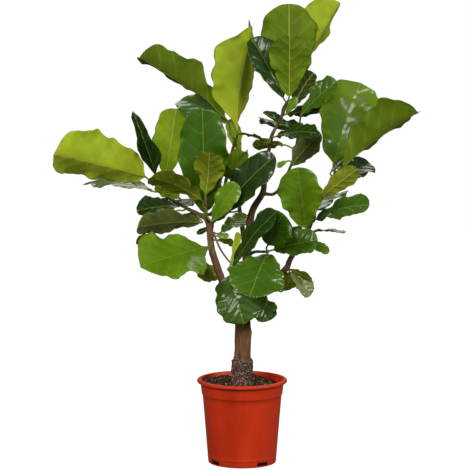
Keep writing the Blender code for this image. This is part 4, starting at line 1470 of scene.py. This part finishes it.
def ripples(leaf, u, t, ruffle, shifts):
    """The margin's waves: sines along the blade, slow ones times u squared and quick ones times u cubed."""
    slow = leaf.wave * leaf.width * np.sin(WAVE_RATE * 2 * math.pi * t) * u * np.abs(u)
    quick = 0.0
    for k, rate in enumerate(RUFFLE_RATES):
        shift = np.where(u > 0, shifts[0, k], shifts[1, k])
        quick = quick + np.sin(2 * math.pi * (rate * t + shift)) / (1 + 0.5 * k)
    return slow + quick * ruffle * leaf.width * np.abs(u) ** 3 * np.sin(math.pi * np.clip(t, 0, 1)) ** 0.5


def leaf_tints(leaf, u, t, below, shade):
    """The leaf's colours: its upper and under side's, lighter or darker as painted light and shade, the
    petiole's, and darker towards the midrib.
    """
    upper, lower = (np.array(TINTS[name]) for name in LOOKS.get(leaf.name, USUAL_LOOK))
    tint = upper + (lower - upper) * np.broadcast_to(below, u.shape)[..., None]
    tint = PETIOLE_TINT + (tint - PETIOLE_TINT) * np.clip(t / 0.03, 0, 1)[..., None]
    return tint * (1 + 0.12 * shade) * (0.82 + 0.18 * np.abs(u))[..., None]


def leaf_skin(leaf, start, base, outward, relief, ruffle, number):
    """A leaf's skin with its blade and side coordinates and its tints.

    Each point is the section's middle, plus u times the half width sideways, plus a lift: both halves
    rise by the fold's angle, the margin ripples, the blade swells between its side veins and has broad
    hollows, and the midrib stands out below and is sunk above.
    """
    draw = np.random.default_rng(LEAF_SEED + number)
    length = float(np.linalg.norm(leaf.reach))
    centre, up, out, t = leaf_middle(leaf, start, base, outward)
    half, thick = leaf_sizes(leaf, t)
    on_blade = np.clip(t / BLADE_OPEN_AT, 0, 1) ** 1.5
    u, v, below = leaf_sections(on_blade)
    half, t, on_blade, thick = (a[:, None] for a in (half, t, on_blade, thick))
    right, left = margins(leaf, t, half, draw.uniform(0, 1, 4))
    x = u * np.where(u > 0, right, left)
    y = t * length

    pitch = length / VEIN_PAIRS
    rise = VEIN_SLOPE * np.abs(x) + VEIN_CURVE * x**2 / (leaf.width / 2)
    phase = (y - rise) / pitch + VEIN_STAGGER * np.clip(u * 9, -1, 1)
    gap = np.abs(phase - np.floor(phase) - 0.5) * pitch
    swell = relief * (1 - np.exp(-((gap / VEIN_SPREAD) ** 2))) * (1 - np.abs(u) ** 6)
    swell = swell * np.minimum(1, half / SWELL_FULL_AT)
    cup = noise(np.stack(np.broadcast_arrays(x * CUP_RATE, y * CUP_RATE, 0 * x), -1), number)
    cup = CUP * length * cup * np.sin(math.pi * t)
    fold = math.radians(leaf.fold) * on_blade
    soft = (np.sqrt(u**2 + 0.01) - 0.1) / np.maximum(np.abs(u), 1e-6)
    waves = ripples(leaf, u, t, ruffle, draw.uniform(0, 1, (2, 3)))
    lift = (np.abs(x) * soft * np.sin(fold) + waves + swell + cup) * on_blade
    rib = RIB_DEPTH * (1 - 0.75 * t) * np.exp(-((x / (RIB_SPREAD - 0.0008 * t)) ** 2)) * on_blade
    lift = lift + thick * v - rib * np.where(below == 1, 1.0, RIB_ABOVE)
    rings = centre[:, None] + out[:, None] * (x * np.cos(fold))[..., None] + up[:, None] * lift[..., None]

    points, quads, triangles = closed_skin(rings)
    points[-1] = base + np.array(leaf.reach)
    blade = np.stack(np.broadcast_arrays(x, y + 0 * x, phase), -1)
    blade[:PETIOLE_ROWS, :, 0] = 0.02  # keeps the midrib's colour off the petiole
    sided = np.stack(np.broadcast_arrays(below + 0 * x, pitch + 0 * x, t + 0 * x), -1)
    tint = leaf_tints(leaf, u, t, below, draw.uniform(-1, 1))
    return points, quads, triangles, *(with_ends(a) for a in (blade, sided, tint))


def make_leaf(leaf, start, base, outward, relief, settings, number, nodes=()):
    """Makes a leaf's piece."""
    skin = leaf_skin(leaf, start, base, outward, relief, settings.ruffle, number)
    points, quads, triangles, blade, sided, tint = skin
    make_piece(
        f"{leaf.name}_blade", points, quads, triangles, [leaf_material(settings.gloss)], nodes,
        {"blade": blade, "side": sided}, tint,
    )


# Small leaves and buds


def nearest_stem_point(place):
    """The point of the stems' middle lines that is nearest to a place."""
    points = np.vstack([
        on_route(route, np.linspace(0, len(route) - 1, 20 * len(route)))[0]
        for route, _ in ROUTES.values()
    ])
    return points[np.argmin(np.linalg.norm(points - place, axis=1))]


def spur_skin(route):
    """A bud's or a thin twig's skin: a circle carried along its route, with strands and tints."""
    centre, radius, along = on_route(route, np.linspace(0, len(route) - 1, 40))
    _, ring = circles(along, (0.1, 1.0, 0.0), SPUR_SIDES)
    points, quads, triangles = closed_skin(centre[:, None] + ring * radius[:, None, None])
    strand = points * np.array([90.0, 90.0, 40.0])
    return points, quads, triangles, strand, np.tile(SPUR_TINT, (len(points), 1))


# Studio


def looking(place, aim):
    """The matrix of a lamp or camera at a place, turned to look at a point."""
    back = unit(np.subtract(place, aim))
    right = unit(np.cross((0.0, 0.0, 1.0), back))
    up = np.cross(back, right)
    matrix = np.eye(4)
    matrix[:3, 0], matrix[:3, 1], matrix[:3, 2], matrix[:3, 3] = right, up, back, place
    return Matrix(matrix.tolist())


def floor_mesh(half):
    """A square white floor that glows a little, so that only contact shadows show on it."""
    mesh = bpy.data.meshes.new("studio_floor")
    corners = [(-half, -half, 0), (half, -half, 0), (half, half, 0), (-half, half, 0)]
    mesh.from_pydata(corners, [], [(0, 1, 2, 3)])
    shader = Shader("studio_floor")
    sweep = shader.grain(0.4, 2.0, 0.5)
    tone = shader.mix(sweep, (0.24, 0.24, 0.24), (0.27, 0.27, 0.27))
    mesh.materials.append(shader.finish(
        Base_Color=tone, Roughness=0.9, Specular_IOR_Level=0.0,
        Emission_Color=(1.0, 1.0, 1.0), Emission_Strength=0.975,
    ))
    return mesh


def studio_air():
    """A world that is seen as white but lights the fig softly."""
    world = bpy.data.worlds.new("studio_air")
    world.use_nodes = True
    nodes, links = world.node_tree.nodes, world.node_tree.links
    path = nodes.new("ShaderNodeLightPath")
    choice = nodes.new("ShaderNodeMix")
    choice.data_type = "RGBA"
    choice.inputs[6].default_value = (*AIR_LIGHT, 1.0)
    choice.inputs[7].default_value = (*AIR_SEEN, 1.0)
    links.new(path.outputs["Is Camera Ray"], choice.inputs[0])
    links.new(choice.outputs[2], nodes["Background"].inputs["Color"])
    nodes["Background"].inputs["Strength"].default_value = 1.0
    return world


# Operators


class FIG_OT_pot(Operator):
    """Make the nursery pot with its rolled lip, band and drain slots"""

    bl_idname = "fig.pot"
    bl_label = "Pot"

    def execute(self, context):
        settings = context.scene.fig_pot
        points, quads, triangles = pot_skin(settings.segments)
        clay = clay_material(tuple(settings.clay))
        make_piece("nursery_pot", points, quads, triangles, [clay], ["pot"])
        return {"FINISHED"}


class FIG_OT_soil(Operator):
    """Make the lumpy soil and the chips that lie on it"""

    bl_idname = "fig.soil"
    bl_label = "Soil"

    def execute(self, context):
        settings = context.scene.fig_soil
        points, quads, triangles = soil_skin(settings.lumps)
        peat = soil_material(tuple(settings.colour))
        make_piece("potting_soil", points, quads, triangles, [peat], ["soil"])
        points, triangles, tints = chips_skin(settings.bits, settings.lumps)
        no_quads = np.zeros((0, 4), int)
        make_piece("soil_chips", points, no_quads, triangles, [chip_material()], tint=tints)
        return {"FINISHED"}


class FIG_OT_stems(Operator):
    """Make the trunk, its limbs and its twigs, with bark"""

    bl_idname = "fig.stems"
    bl_label = "Stems"

    def execute(self, context):
        settings = context.scene.fig_stems
        for stem in STEMS:
            route, outward = ROUTES[stem.name]
            skin = stem_skin(stem, route, outward, settings.bark_depth, settings.collar_depth)
            points, quads, triangles, strand, tint = skin
            bark = bark_material("twig_bark", False) if stem.parent else bark_material("trunk_bark", True)
            make_piece(
                f"{stem.name}_bark", points, quads, triangles, [bark], [stem.name],
                {"strand": strand}, tint,
            )
        return {"FINISHED"}


class FIG_OT_leaves(Operator):
    """Make the leaves, each with its petiole, veins and ruffled margin"""

    bl_idname = "fig.leaves"
    bl_label = "Leaves"

    def execute(self, context):
        settings = context.scene.fig_leaves
        for number, leaf in enumerate(LEAVES):
            route = ROUTES[leaf.stem][0]
            at = leaf.at + leaf.aside * PETIOLE_RADIUS / step_length(route, leaf.at)
            middle, along, off = seat(route, at, PETIOLE_RADIUS)
            petiole = np.array(leaf.petiole)
            outward = across(petiole, along)
            start = middle + outward * (off - PETIOLE_SUNK)
            make_leaf(leaf, start, middle + petiole, outward, settings.vein_relief, settings, number,
                      [f"leaf_{leaf.name}"])
        return {"FINISHED"}


class FIG_OT_sprigs(Operator):
    """Make the small leaves, the buds and the leafless twigs"""

    bl_idname = "fig.sprigs"
    bl_label = "Small leaves and buds"

    def execute(self, context):
        settings = context.scene.fig_leaves
        for number, (name, base, reach, face, width, fold, shape) in enumerate(SPRIGS, len(LEAVES)):
            leaf = Leaf(name, "", 0, (), reach, face, width, fold, shape=shape)
            base = np.array(base)
            start = nearest_stem_point(base)
            make_leaf(leaf, start, base, unit(base - start), settings.vein_relief / 2, settings, number)
        for name, route in SPURS:
            points, quads, triangles, strand, tint = spur_skin(np.array(route))
            make_piece(
                name, points, quads, triangles, [bark_material("twig_bark", False)], (),
                {"strand": strand}, tint,
            )
        return {"FINISHED"}


class FIG_OT_stage(Operator):
    """Make the floor, the soft lights and the camera"""

    bl_idname = "fig.stage"
    bl_label = "Stage"

    def execute(self, context):
        settings = context.scene.fig_stage
        context.scene.world = studio_air()
        floor = place_object(floor_mesh(settings.floor_size / 2))
        floor.visible_diffuse = False
        floor.visible_glossy = False
        for name, place, size, share, colour in LAMPS:
            light = bpy.data.lights.new(name, "AREA")
            light.shape = "SQUARE"
            light.size = size
            light.energy = settings.key_power * share
            light.color = colour
            place_object(light).matrix_world = looking(place, LAMP_AIM)
        camera = bpy.data.cameras.new("studio_camera")
        camera.angle = settings.field_of_view
        camera.clip_end = 200.0
        stand = place_object(camera)
        stand.matrix_world = looking(CAMERA_PLACE, CAMERA_AIM)
        context.scene.camera = stand
        context.scene.view_settings.view_transform = "Standard"
        return {"FINISHED"}


class FIG_PT_panel(Panel):
    """The fig's settings and the buttons that make its pieces"""

    bl_idname = "FIG_PT_panel"
    bl_label = "Potted fig"
    bl_space_type = "VIEW_3D"
    bl_region_type = "UI"
    bl_category = "Fig"

    def draw(self, context):
        for key, operator in STEPS:
            box = self.layout.box()
            box.operator(operator)
            group = getattr(context.scene, key)
            for name in group.__annotations__:
                box.prop(group, name)


# The settings and the operator of each step, in the order in which the panel lists them.
STEPS = (
    ("fig_stage", "fig.stage"),
    ("fig_pot", "fig.pot"),
    ("fig_soil", "fig.soil"),
    ("fig_stems", "fig.stems"),
    ("fig_leaves", "fig.leaves"),
    ("fig_leaves", "fig.sprigs"),
)
GROUPS = {
    "fig_stage": FigStageSettings,
    "fig_pot": FigPotSettings,
    "fig_soil": FigSoilSettings,
    "fig_stems": FigStemSettings,
    "fig_leaves": FigLeafSettings,
}
OPERATORS = (FIG_OT_stage, FIG_OT_pot, FIG_OT_soil, FIG_OT_stems, FIG_OT_leaves, FIG_OT_sprigs)
CLASSES = (*GROUPS.values(), *OPERATORS, FIG_PT_panel)


def register():
    """Registers the classes and hangs the settings on the scene."""
    for one in CLASSES:
        bpy.utils.register_class(one)
    for key, group in GROUPS.items():
        setattr(bpy.types.Scene, key, PointerProperty(type=group))


def unregister():
    """Takes back what register did."""
    for key in GROUPS:
        delattr(bpy.types.Scene, key)
    for one in reversed(CLASSES):
        bpy.utils.unregister_class(one)


def main():
    """Registers the add-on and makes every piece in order."""
    register()
    bpy.ops.fig.stage()
    bpy.ops.fig.pot()
    bpy.ops.fig.soil()
    bpy.ops.fig.stems()
    bpy.ops.fig.leaves()
    bpy.ops.fig.sprigs()
    bpy.context.view_layer.update()


if __name__ == "__main__":
    main()
